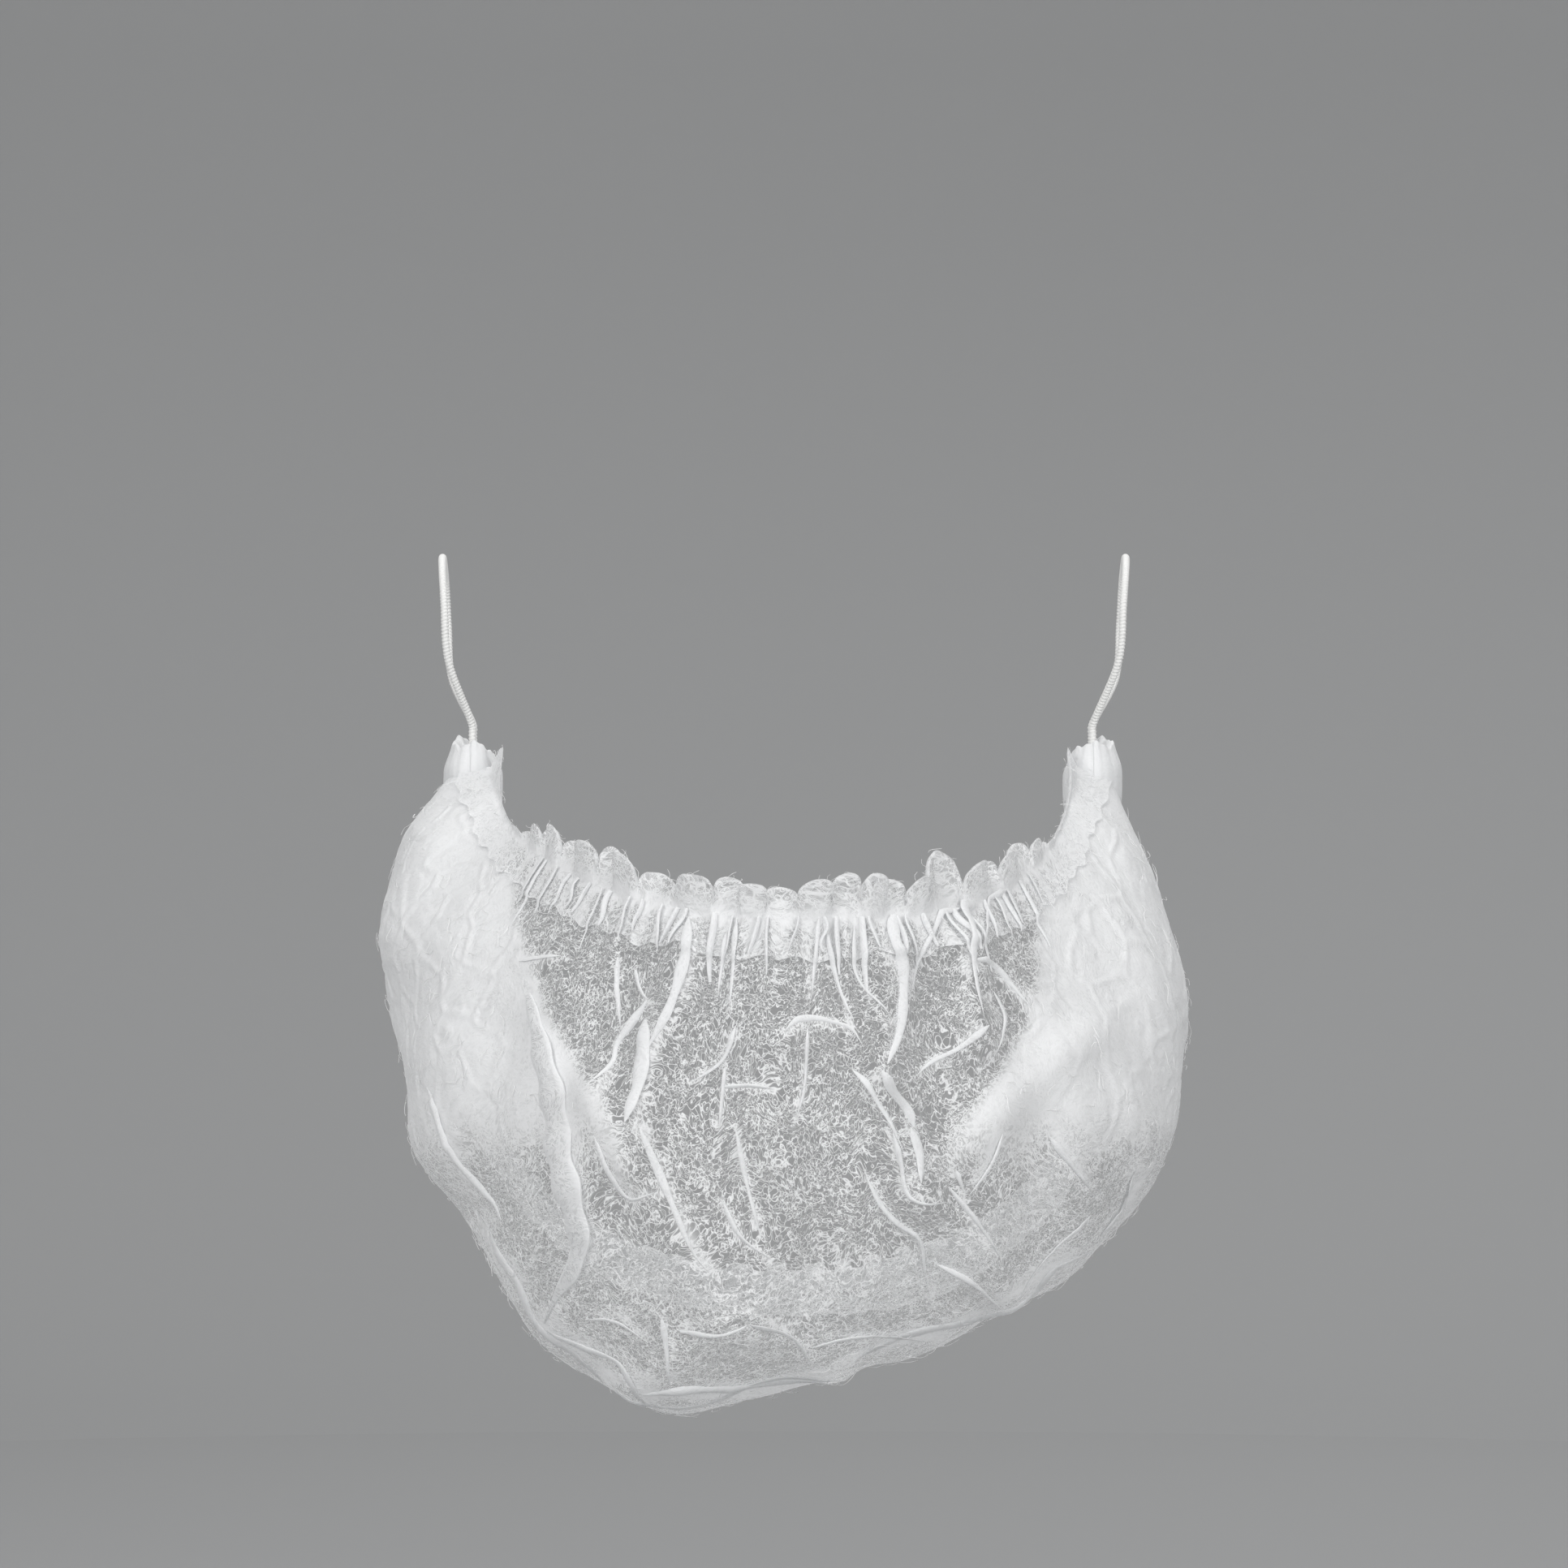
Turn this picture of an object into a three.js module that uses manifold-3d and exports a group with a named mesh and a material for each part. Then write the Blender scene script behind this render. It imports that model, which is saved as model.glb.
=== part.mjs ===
// Disposable beard net, kept in the form that it has when it is worn.
// Millimetres, +Z up; the face looks along -Y, and left and right are as someone facing it sees them.
// The origin is midway between the tops of the two ear loops, where the ears carry the net.

import * as THREE from 'three';
import Module from 'manifold-3d';
import { mergeVertices } from 'three/addons/utils/BufferGeometryUtils.js';

const wasm = await Module();
wasm.setup();

// Driving dimensions of the bag
const HALF_WIDTH = 82;
const BAG_DROP = 128;
const BOTTOM_REACH = 74;
const CHEST_SWELL = 20;
const SIDE_SWELL = 7;

// Where the ends of the bag lie, one on each side of the face
const END_BELOW_EARS = 44;
const END_FORWARD = 4;
const END_FRONT_X = HALF_WIDTH * 0.726;
const END_FRONT_SETOFF = 7;
const END_BACK_X = HALF_WIDTH * 0.774;
const END_BACK_SETOFF = 9;

// The two edges of the opening; the powers say how full each curve is between its middle and ends
const NOSE_REACH = 96;
const NOSE_DROP = 30;
const NOSE_DROP_POWER = 0.9;
const RIGHT_CHEEK_SAG = 4;
const THROAT_REACH = 52;
const THROAT_REACH_POWER = 1.8;
const THROAT_DROP = 104;
const THROAT_DROP_POWER = 0.55;
const JAW_HALF_WIDTH = HALF_WIDTH * 0.866;
const JAW_WIDTH_POWER = 0.9;
const JAW_PINCH_POWER = 8;

// Cloth
const WALL = 1.1;
const CLEARANCE = 0.35;
const HEM_LIFT = 0.55;

// Slack in the cloth
const FOLD_WIDTH = 4.5;
const FOLD_HEIGHT = 3;
const PUFF_HEIGHT = 0.9;

// Hems and their gathers; a wave is the height of the gathers at the elastic, the bag or the ruffle
const GATHER_PITCH = 9.4;
const ELASTIC_WAVE = 0.5;
const BODY_WAVE = 1.25;
const BODY_WAVE_LENGTH = 34;
const FRONT_HEM_WIDTH = 8.4;
const RUFFLE_HEIGHT = 4.2;
const RUFFLE_WAVE = 1.9;
const RUFFLE_FLARE = 0.45;
const LOBE_SHARE = 0.38;
const BACK_HEM_WIDTH = 7.5;
const BACK_FRILL_HEIGHT = 3;
const FRILL_LOBE_SHARE = 0.3;

// Shares of the way from the middle to an end at which gathers begin to fade and at which hems stop
const GATHER_FADE = 0.7;
const HEM_END = 0.94;

// Middle row of the ruffle: its height and its waves as shares of those of the edge
const RUFFLE_MIDDLE = 0.5;
const RUFFLE_MIDDLE_WAVE = 0.6;

// Gathered ends of the bag
const SHANK_HALF_X = 2.5;
const SHANK_HALF_Y = 3.7;
const SHANK_DEPTH = 7;
const SHANK_TAPER = 0.8;
const CROWN_HEIGHT = 6.4;
const CROWN_SPREAD = 2.4;
const CROWN_FOOT = 0.9;
const CROWN_TOP = 0.8;
const CROWN_PLEATS = 5;
const CROWN_PLEAT_DEPTH = 0.13;
const CROWN_DIP = 0.42;

// Round knitted elastic of the ear loops
const ELASTIC_DIAMETER = 1.6;
const LOOP_TOP_X = HALF_WIDTH * 0.872;
const LOOP_DEPTH = 25;
const LOOP_SEAT = 4;
const STRAND_SPACING = 4.4;

// Fineness of the mesh
const SAMPLES_PER_GATHER = 4;
const SAMPLES_PER_PLEAT = 4;
const SKIRT_ROWS = 9;
const UNDER_ROWS = 3;
const LOOP_STEPS = 28;
const LOOP_SIDES = 8;

// Outline of the bag from the front, from its left end round the bottom to its right end.
// x is a share of HALF_WIDTH, drop a share of BAG_DROP below the ends; rows are evenly spaced.
const OUTLINE = [
  { x: -0.86, drop: 0.0 },
  { x: -0.96, drop: 0.12 },
  { x: -1.0, drop: 0.3 },
  { x: -0.95, drop: 0.46 },
  { x: -0.875, drop: 0.61 },
  { x: -0.74, drop: 0.75 },
  { x: -0.59, drop: 0.885 },
  { x: -0.36, drop: 0.975 },
  { x: -0.09, drop: 0.985 },
  { x: 0.18, drop: 0.93 },
  { x: 0.455, drop: 0.868 },
  { x: 0.71, drop: 0.785 },
  { x: 0.885, drop: 0.672 },
  { x: 0.95, drop: 0.56 },
  { x: 1.015, drop: 0.41 },
  { x: 0.93, drop: 0.18 },
  { x: 0.845, drop: 0.0 },
];

// Main folds of the front, as seen from the front.
// x values are shares of HALF_WIDTH, drops of BAG_DROP, widths of FOLD_WIDTH and heights of FOLD_HEIGHT.
const FOLDS = [
  { fromX: -0.21, fromDrop: 0.23, toX: -0.35, toDrop: 0.6, width: 0.93, height: 1 },
  { fromX: 0.26, fromDrop: 0.21, toX: 0.21, toDrop: 0.47, width: 0.89, height: 1.07 },
  { fromX: 0.21, fromDrop: 0.47, toX: 0.31, toDrop: 0.65, width: 0.89, height: 1 },
  { fromX: 0.4, fromDrop: 0.16, toX: 0.45, toDrop: 0.42, width: 1.02, height: 1.07 },
  { fromX: -0.06, fromDrop: 0.42, toX: 0.16, toDrop: 0.41, width: 0.93, height: 0.73 },
  { fromX: -0.43, fromDrop: 0.52, toX: -0.53, toDrop: 0.82, width: 1.67, height: 1.33 },
  { fromX: -0.42, fromDrop: 0.5, toX: -0.16, toDrop: 0.82, width: 1, height: 0.87 },
  { fromX: 0.31, fromDrop: 0.65, toX: 0.52, toDrop: 0.8, width: 1.02, height: 0.87 },
  { fromX: 0.4, fromDrop: 0.58, toX: 0.72, toDrop: 0.42, width: 1.11, height: 0.73 },
  { fromX: -0.09, fromDrop: 0.83, toX: -0.35, toDrop: 0.93, width: 1, height: 0.8 },
  { fromX: -0.09, fromDrop: 0.83, toX: 0.12, toDrop: 0.92, width: 1, height: 0.8 },
  { fromX: -0.12, fromDrop: 0.62, toX: 0.06, toDrop: 0.75, width: 1.78, height: -0.8 },
  { fromX: -0.66, fromDrop: 0.42, toX: -0.72, toDrop: 0.68, width: 1.56, height: -0.87 },
  { fromX: 0.62, fromDrop: 0.48, toX: 0.62, toDrop: 0.7, width: 1.56, height: -0.8 },
];

// Puffs of slack cloth over the whole bag: waves round it and down it, and their lean in radians.
// height is a share of PUFF_HEIGHT.
const PUFFS = [
  { around: 5.5, down: 1.5, lean: 0.9, height: 1 },
  { around: 9.0, down: -2.5, lean: 2.3, height: 0.78 },
  { around: 14.0, down: 3.5, lean: 4.1, height: 0.5 },
];

// Lobes of the ruffle that stand taller; at is a share of the way from the middle to an end
const TALL_LOBES = [
  { at: 0.37, spread: 0.035, rise: 1.0 },
  { at: 0.52, spread: 0.09, rise: 0.7 },
  { at: -0.45, spread: 0.06, rise: 0.25 },
];

// Route of an ear loop, from the strand in front of the ear over its top to the one behind it.
// out is a share of the way from the end of the bag to LOOP_TOP_X, back a share of LOOP_DEPTH,
// up a share of the height from the crown to the top of the ear.
const LOOP_ROUTE = [
  { out: 0.72, back: -0.43, up: 0.42 },
  { out: 0.85, back: -0.46, up: 0.74 },
  { out: 0.97, back: -0.22, up: 0.965 },
  { out: 1.0, back: 0.06, up: 1.0 },
  { out: 0.98, back: 0.4, up: 0.86 },
  { out: 0.92, back: 0.52, up: 0.62 },
  { out: 0.78, back: 0.4, up: 0.33 },
];

// Shares of the way down a section at which the outline is reached and at which folds begin to fade
const OUTLINE_SHARE = 0.7;
const FOLD_FADE = 0.595;

// Small step for slopes, and steps along an edge for its length
const SLOPE_STEP = 1e-3;
const EDGE_STEPS = 400;

const quarterTurn = (across) => (Math.PI / 2) * across;

const fade = (value, start, end) => {
  const t = Math.min(1, Math.max(0, (value - start) / (end - start)));
  return t * t * (3 - 2 * t);
};

function rowValue(rows, column, share) {
  const place = Math.min(1, Math.max(0, share)) * (rows.length - 1);
  const row = Math.min(rows.length - 2, Math.floor(place));
  const t = place - row;
  const at = (index) => rows[Math.min(rows.length - 1, Math.max(0, index))][column];
  const [a, b, c, d] = [at(row - 1), at(row), at(row + 1), at(row + 2)];
  return b + 0.5 * t * (c - a + t * (2 * a - 5 * b + 4 * c - d + t * (3 * (b - c) + d - a)));
}

// Edge under the nose; across runs from -1 at the left end to 1 at the right end
function frontEdge(across) {
  const turn = quarterTurn(across);
  const forward = Math.max(0, Math.cos(turn));
  const sag = across > 0 ? RIGHT_CHEEK_SAG * Math.sin(2 * turn) ** 2 : 0;
  return new THREE.Vector3(
    END_FRONT_X * Math.sin(turn),
    -END_FORWARD - END_FRONT_SETOFF - NOSE_REACH * forward,
    -END_BELOW_EARS - NOSE_DROP * forward ** NOSE_DROP_POWER - sag,
  );
}

function outlineEdge(across) {
  const share = (across + 1) / 2;
  return new THREE.Vector3(
    HALF_WIDTH * rowValue(OUTLINE, 'x', share),
    -END_FORWARD - BOTTOM_REACH * Math.max(0, Math.cos(quarterTurn(across))),
    -END_BELOW_EARS - BAG_DROP * rowValue(OUTLINE, 'drop', share),
  );
}

function backEdge(across) {
  const turn = quarterTurn(across);
  const forward = Math.max(0, Math.cos(turn));
  const side = Math.abs(Math.sin(turn)) ** JAW_WIDTH_POWER;
  const pinch = (JAW_HALF_WIDTH - END_BACK_X) * Math.abs(across) ** JAW_PINCH_POWER;
  return new THREE.Vector3(
    Math.sign(across) * (JAW_HALF_WIDTH * side - pinch),
    -END_FORWARD + END_BACK_SETOFF - THROAT_REACH * forward ** THROAT_REACH_POWER,
    -END_BELOW_EARS - THROAT_DROP * forward ** THROAT_DROP_POWER,
  );
}

// The bag without its gathers; down runs from 0 at the nose to 1 at the throat
function smoothBag(across, down) {
  const outline = outlineEdge(across);
  if (down <= OUTLINE_SHARE) {
    const turn = quarterTurn(down / OUTLINE_SHARE);
    const front = frontEdge(across);
    const swell = SIDE_SWELL + (CHEST_SWELL - SIDE_SWELL) * Math.cos(quarterTurn(across));
    const point = front.clone().lerp(outline, Math.sin(turn));
    point.y = front.y + (outline.y - front.y) * (1 - Math.cos(turn)) - swell * Math.sin(2 * turn);
    return point;
  }
  const turn = quarterTurn((down - OUTLINE_SHARE) / (1 - OUTLINE_SHARE));
  const back = backEdge(across);
  const point = outline.clone().lerp(back, 1 - Math.cos(turn));
  point.y = outline.y + (back.y - outline.y) * Math.sin(turn);
  return point;
}

function slope(across, down, alongAcross) {
  const [stepAcross, stepDown] = alongAcross ? [SLOPE_STEP, 0] : [0, SLOPE_STEP];
  const low = smoothBag(Math.max(-1, across - stepAcross), Math.max(0, down - stepDown));
  const high = smoothBag(Math.min(1, across + stepAcross), Math.min(1, down + stepDown));
  return high.sub(low);
}

function outward(across, down) {
  return slope(across, down, false).cross(slope(across, down, true)).normalize();
}

// Length of an edge from its left end, so that gathers are evenly pitched along it
function lengthTable(edge) {
  const lengths = [0];
  for (let step = 1; step <= EDGE_STEPS; step += 1) {
    const last = edge((2 * (step - 1)) / EDGE_STEPS - 1);
    lengths.push(lengths[step - 1] + last.distanceTo(edge((2 * step) / EDGE_STEPS - 1)));
  }
  return lengths;
}

function shareAtLength(lengths, length) {
  const step = lengths.findIndex((value) => value > length) - 1;
  const part = (length - lengths[step]) / (lengths[step + 1] - lengths[step]);
  return (2 * (step + part)) / EDGE_STEPS - 1;
}

const frontLengths = lengthTable(frontEdge);
const frontLength = frontLengths[frontLengths.length - 1];
const gatherCount = Math.round(frontLength / GATHER_PITCH);
const columnCount = gatherCount * SAMPLES_PER_GATHER;

const columns = Array.from({ length: columnCount + 1 }, (_, column) => ({
  across: column === columnCount ? 1 : shareAtLength(frontLengths, (frontLength * column) / columnCount),
  wave: Math.SQRT2 * Math.cos((2 * Math.PI * (column + 0.5)) / SAMPLES_PER_GATHER),
}));

const hemColumns = columns.filter((column) => Math.abs(column.across) <= HEM_END);

const towardsEnd = (across) => fade(Math.abs(across), HEM_END, GATHER_FADE);

function foldHeight(point) {
  let height = 0;
  for (const fold of FOLDS) {
    const from = new THREE.Vector2(fold.fromX * HALF_WIDTH, -END_BELOW_EARS - fold.fromDrop * BAG_DROP);
    const to = new THREE.Vector2(fold.toX * HALF_WIDTH, -END_BELOW_EARS - fold.toDrop * BAG_DROP);
    const run = to.clone().sub(from);
    const here = new THREE.Vector2(point.x, point.z).sub(from);
    const along = Math.min(1, Math.max(0, here.dot(run) / run.lengthSq()));
    const away = here.distanceTo(run.multiplyScalar(along)) / (fold.width * FOLD_WIDTH);
    height += fold.height * FOLD_HEIGHT * Math.exp(-away * away);
  }
  return height;
}

function puffHeight(across, down) {
  const middle = Math.sin(Math.PI * Math.min(1, Math.max(0, down)));
  return PUFFS.reduce((height, puff) => {
    const phase = puff.around * across + puff.down * down;
    return height + middle * puff.height * PUFF_HEIGHT * Math.sin(Math.PI * phase + puff.lean);
  }, 0);
}

const speedAtNose = (across) => slope(across, 0, false).length() / SLOPE_STEP;
const speedAtThroat = (across) => slope(across, 1, false).length() / SLOPE_STEP;

// Height of the cloth over the smooth bag
function relief(column, down) {
  const { across, wave } = column;
  const fromNose = down * speedAtNose(across);
  const fromThroat = (1 - down) * speedAtThroat(across);
  const noseWave = ELASTIC_WAVE + (BODY_WAVE - ELASTIC_WAVE) * fade(fromNose, 0, FRONT_HEM_WIDTH);
  const gathers = noseWave * fade(fromNose, BODY_WAVE_LENGTH, FRONT_HEM_WIDTH);
  const throatGathers = ELASTIC_WAVE * fade(fromThroat, BODY_WAVE_LENGTH, 0);
  const clear = fade(fromNose, 0, FRONT_HEM_WIDTH) * fade(fromThroat, 0, BACK_HEM_WIDTH);
  const folds = down < OUTLINE_SHARE ? foldHeight(smoothBag(across, down)) : 0;
  const nearOutline = fade(down, OUTLINE_SHARE, FOLD_FADE);
  const body = clear * (folds * nearOutline + puffHeight(across, down));
  return towardsEnd(across) * (wave * (gathers + throatGathers) + body);
}

function clothPoint(column, down, offset) {
  const height = relief(column, down) + offset;
  return smoothBag(column.across, down).addScaledVector(outward(column.across, down), height);
}

// A closed wall between two faces of the cloth; point gives both from a column, a row and a side
function closedWall(wallColumns, rowCount, point) {
  const positions = [];
  const index = [];
  const rows = rowCount + 1;
  for (const outer of [true, false]) {
    for (const column of wallColumns) {
      for (let row = 0; row < rows; row += 1) positions.push(...point(column, row, outer).toArray());
    }
  }
  const inner = wallColumns.length * rows;
  const quad = (a, b, c, d) => index.push(a, b, c, a, c, d);
  for (let column = 0; column < wallColumns.length - 1; column += 1) {
    const here = column * rows;
    const next = here + rows;
    for (let row = 0; row < rowCount; row += 1) {
      quad(here + row, here + row + 1, next + row + 1, next + row);
      quad(inner + here + row, inner + next + row, inner + next + row + 1, inner + here + row + 1);
    }
    quad(inner + here, here, next, inner + next);
    quad(here + rowCount, inner + here + rowCount, inner + next + rowCount, next + rowCount);
  }
  const last = inner - rows;
  for (let row = 0; row < rowCount; row += 1) {
    quad(row + 1, row, inner + row, inner + row + 1);
    quad(last + row, last + row + 1, inner + last + row + 1, inner + last + row);
  }
  const geometry = new THREE.BufferGeometry();
  geometry.setAttribute('position', new THREE.Float32BufferAttribute(positions, 3));
  geometry.setIndex(index);
  return geometry;
}

// Rows of the bag: two under each hem, so that hem and bag run parallel there
function bagDown(across, row) {
  const noseShare = FRONT_HEM_WIDTH / speedAtNose(across);
  const throatShare = BACK_HEM_WIDTH / speedAtThroat(across);
  if (row <= 2) return (noseShare * row) / 2;
  const lastRow = 2 + SKIRT_ROWS + UNDER_ROWS;
  if (row >= lastRow) return 1 - throatShare * (lastRow + 1 - row);
  if (row <= 2 + SKIRT_ROWS) {
    return noseShare + ((OUTLINE_SHARE - noseShare) * (row - 2)) / SKIRT_ROWS;
  }
  const underShare = (row - 2 - SKIRT_ROWS) / UNDER_ROWS;
  return OUTLINE_SHARE + (1 - throatShare - OUTLINE_SHARE) * underShare;
}

function makePouch() {
  const rowCount = 3 + SKIRT_ROWS + UNDER_ROWS;
  return closedWall(columns, rowCount, (column, row, outer) => (
    clothPoint(column, bagDown(column.across, row), outer ? 0 : -WALL)
  ));
}

function ruffleHeight(column) {
  const { across, wave } = column;
  const lobes = TALL_LOBES.reduce((rise, lobe) => (
    rise + lobe.rise * Math.exp(-(((across - lobe.at) / lobe.spread) ** 2))
  ), 1);
  const gathered = 1 - LOBE_SHARE + LOBE_SHARE * wave;
  return HEM_LIFT + WALL + RUFFLE_HEIGHT * lobes * gathered * towardsEnd(across);
}

// Rows 0 and 1 stand above the elastic, rows 2 to 4 lie on the bag
function makeFrontHem() {
  return closedWall(hemColumns, 4, (column, row, outer) => {
    const { across, wave } = column;
    const offset = HEM_LIFT + (outer ? WALL : 0);
    if (row >= 2) return clothPoint(column, bagDown(across, row - 2), offset);
    const rise = ruffleHeight(column) * (row === 0 ? 1 : RUFFLE_MIDDLE);
    const normal = outward(across, 0);
    const up = slope(across, 0, false).normalize().negate().addScaledVector(normal, RUFFLE_FLARE);
    const extraWave = (RUFFLE_WAVE - ELASTIC_WAVE) * (row === 0 ? 1 : RUFFLE_MIDDLE_WAVE);
    const edge = clothPoint(column, 0, offset).addScaledVector(up.normalize(), rise);
    return edge.addScaledVector(normal, extraWave * wave * towardsEnd(across));
  });
}

// Row 0 lies on the bag, row 1 is its edge and row 2 the edge of the frill
function makeBackHem() {
  return closedWall(hemColumns, 2, (column, row, outer) => {
    const { across, wave } = column;
    const offset = HEM_LIFT + (outer ? WALL : 0);
    if (row === 0) return clothPoint(column, bagDown(across, 2 + SKIRT_ROWS + UNDER_ROWS), offset);
    const edge = clothPoint(column, 1, offset);
    if (row === 1) return edge;
    const gathered = 1 - FRILL_LOBE_SHARE + FRILL_LOBE_SHARE * wave;
    const along = slope(across, 1, false).normalize();
    return edge.addScaledVector(along, BACK_FRILL_HEIGHT * gathered);
  });
}

const endCentre = (side) => {
  const front = frontEdge(side);
  const outer = outlineEdge(side);
  const back = backEdge(side);
  return new THREE.Vector3(
    (Math.min(Math.abs(front.x), Math.abs(back.x)) + Math.abs(outer.x)) / 2 * side,
    (front.y + back.y) / 2,
    -END_BELOW_EARS,
  );
};

function strandEnd(side, place) {
  const end = endCentre(side);
  end.y += (place * STRAND_SPACING) / 2;
  end.z += CROWN_HEIGHT - LOOP_SEAT;
  return end;
}

// The bonded end: an oval shank inside the end of the bag under a pleated crown with two lobes
function makeCornerGather(side) {
  const aroundSteps = CROWN_PLEATS * SAMPLES_PER_PLEAT;
  const profile = [
    { height: -SHANK_DEPTH, spread: SHANK_TAPER, pleats: 0 },
    { height: CLEARANCE, spread: 1, pleats: 0 },
    { height: CLEARANCE, spread: CROWN_SPREAD * CROWN_FOOT, pleats: 0.5 },
    { height: CROWN_HEIGHT / 2, spread: CROWN_SPREAD, pleats: 1 },
    { height: CROWN_HEIGHT, spread: CROWN_SPREAD * CROWN_TOP, pleats: 1 },
  ];
  const centre = endCentre(side);
  const positions = [];
  const index = [];
  for (const ring of profile) {
    for (let step = 0; step < aroundSteps; step += 1) {
      const angle = (2 * Math.PI * step) / aroundSteps;
      const pleat = 1 + ring.pleats * CROWN_PLEAT_DEPTH * Math.cos(CROWN_PLEATS * angle);
      const atTop = ring.height >= CROWN_HEIGHT;
      const lobe = atTop ? (CROWN_DIP * CROWN_HEIGHT * (Math.cos(2 * angle) - 1)) / 2 : 0;
      positions.push(
        centre.x + SHANK_HALF_X * ring.spread * pleat * Math.sin(angle),
        centre.y - SHANK_HALF_Y * ring.spread * pleat * Math.cos(angle),
        centre.z + ring.height + lobe,
      );
    }
  }
  const topRing = (profile.length - 1) * aroundSteps;
  const bottomPole = positions.length / 3;
  positions.push(centre.x, centre.y, centre.z - SHANK_DEPTH);
  positions.push(centre.x, centre.y, centre.z + CROWN_HEIGHT * (1 - CROWN_DIP / 2));
  for (let step = 0; step < aroundSteps; step += 1) {
    const next = (step + 1) % aroundSteps;
    for (let ring = 0; ring < profile.length - 1; ring += 1) {
      const low = ring * aroundSteps;
      const high = low + aroundSteps;
      index.push(low + step, low + next, high + next, low + step, high + next, high + step);
    }
    index.push(bottomPole, next, step);
    index.push(bottomPole + 1, topRing + step, topRing + next);
  }
  const geometry = new THREE.BufferGeometry();
  geometry.setAttribute('position', new THREE.Float32BufferAttribute(positions, 3));
  geometry.setIndex(index);
  const body = toManifold(geometry);
  const sockets = [-1, 1].map((place) => toManifold(socket(side, place)));
  return fromManifold(body.subtract(sockets[0]).subtract(sockets[1]));
}

// Room for one strand of the elastic in the crown, open at the top
function socket(side, place) {
  const radius = ELASTIC_DIAMETER / 2 / Math.cos(Math.PI / LOOP_SIDES) + CLEARANCE;
  const depth = CROWN_HEIGHT + LOOP_SEAT;
  const geometry = new THREE.CylinderGeometry(radius, radius, depth, LOOP_SIDES);
  const end = strandEnd(side, place);
  return geometry.rotateX(Math.PI / 2).translate(end.x, end.y, end.z - CLEARANCE + depth / 2);
}

function makeEarLoop(side) {
  const [front, back] = [strandEnd(side, -1), strandEnd(side, 1)];
  const base = endCentre(side);
  const rise = END_BELOW_EARS - CROWN_HEIGHT - ELASTIC_DIAMETER / 2;
  const route = LOOP_ROUTE.map((row) => new THREE.Vector3(
    base.x + row.out * (side * LOOP_TOP_X - base.x),
    row.back * LOOP_DEPTH + base.y * (1 - row.up),
    base.z + CROWN_HEIGHT + row.up * rise,
  ));
  const raised = (end, height) => end.clone().setZ(base.z + CROWN_HEIGHT + height);
  const points = [
    front,
    raised(front, 0),
    raised(front, ELASTIC_DIAMETER),
    ...route,
    raised(back, ELASTIC_DIAMETER),
    raised(back, 0),
    back,
  ];
  const curve = new THREE.CatmullRomCurve3(points, false, 'centripetal');
  const section = new THREE.Shape();
  section.absarc(0, 0, ELASTIC_DIAMETER / 2, 0, 2 * Math.PI, false);
  return new THREE.ExtrudeGeometry(section, {
    curveSegments: LOOP_SIDES / 2,
    steps: LOOP_STEPS,
    bevelEnabled: false,
    extrudePath: curve,
  });
}

function toManifold(source) {
  const bare = source.clone();
  bare.deleteAttribute('normal');
  bare.deleteAttribute('uv');
  const merged = mergeVertices(bare);
  return new wasm.Manifold(new wasm.Mesh({
    numProp: 3,
    vertProperties: new Float32Array(merged.attributes.position.array),
    triVerts: new Uint32Array(merged.index.array),
  }));
}

function fromManifold(solid) {
  const mesh = solid.getMesh();
  const geometry = new THREE.BufferGeometry();
  geometry.setAttribute('position', new THREE.BufferAttribute(mesh.vertProperties, 3));
  geometry.setIndex(new THREE.BufferAttribute(mesh.triVerts, 1));
  return geometry;
}

const nonwoven = { color: 0xe6e8e9, roughness: 0.75, metalness: 0 };
const bondedNonwoven = { color: 0xeff0f1, roughness: 0.65, metalness: 0 };
const knittedElastic = { color: 0xf4f4f2, roughness: 0.85, metalness: 0 };

function named(name, geometry, finish) {
  const mesh = new THREE.Mesh(geometry, new THREE.MeshStandardMaterial(finish));
  mesh.name = name;
  return mesh;
}

const group = new THREE.Group();
group.add(named('pouch', makePouch(), nonwoven));
group.add(named('front_hem', makeFrontHem(), bondedNonwoven));
group.add(named('back_hem', makeBackHem(), bondedNonwoven));
for (const [word, side] of [['left', -1], ['right', 1]]) {
  group.add(named(`corner_gather_${word}`, makeCornerGather(side), bondedNonwoven));
  group.add(named(`ear_loop_${word}`, makeEarLoop(side), knittedElastic));
}

export default group;
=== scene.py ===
"""Disposable beard net: a nonwoven bag with gathered hems, carried by two knitted elastic loops."""

import logging
import math
from dataclasses import dataclass, field
from enum import Enum
from typing import Sequence, Union

import bpy
import numpy as np
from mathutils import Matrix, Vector, noise


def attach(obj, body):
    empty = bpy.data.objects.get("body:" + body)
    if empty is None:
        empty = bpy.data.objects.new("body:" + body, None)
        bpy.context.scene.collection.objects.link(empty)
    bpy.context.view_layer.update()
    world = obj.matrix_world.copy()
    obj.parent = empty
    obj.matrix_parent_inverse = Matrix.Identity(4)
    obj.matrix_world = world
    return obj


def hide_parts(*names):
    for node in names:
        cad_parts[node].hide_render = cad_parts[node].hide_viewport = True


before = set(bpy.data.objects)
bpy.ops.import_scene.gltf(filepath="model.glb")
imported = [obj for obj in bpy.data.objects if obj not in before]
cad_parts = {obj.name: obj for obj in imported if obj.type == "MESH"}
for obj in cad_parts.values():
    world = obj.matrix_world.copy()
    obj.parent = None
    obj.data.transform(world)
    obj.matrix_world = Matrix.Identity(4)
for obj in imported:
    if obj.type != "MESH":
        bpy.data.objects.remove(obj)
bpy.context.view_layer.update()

LOG = logging.getLogger("beard_net")
Array = np.ndarray
Feed = Union[float, Sequence[float], bpy.types.NodeSocket]

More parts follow.
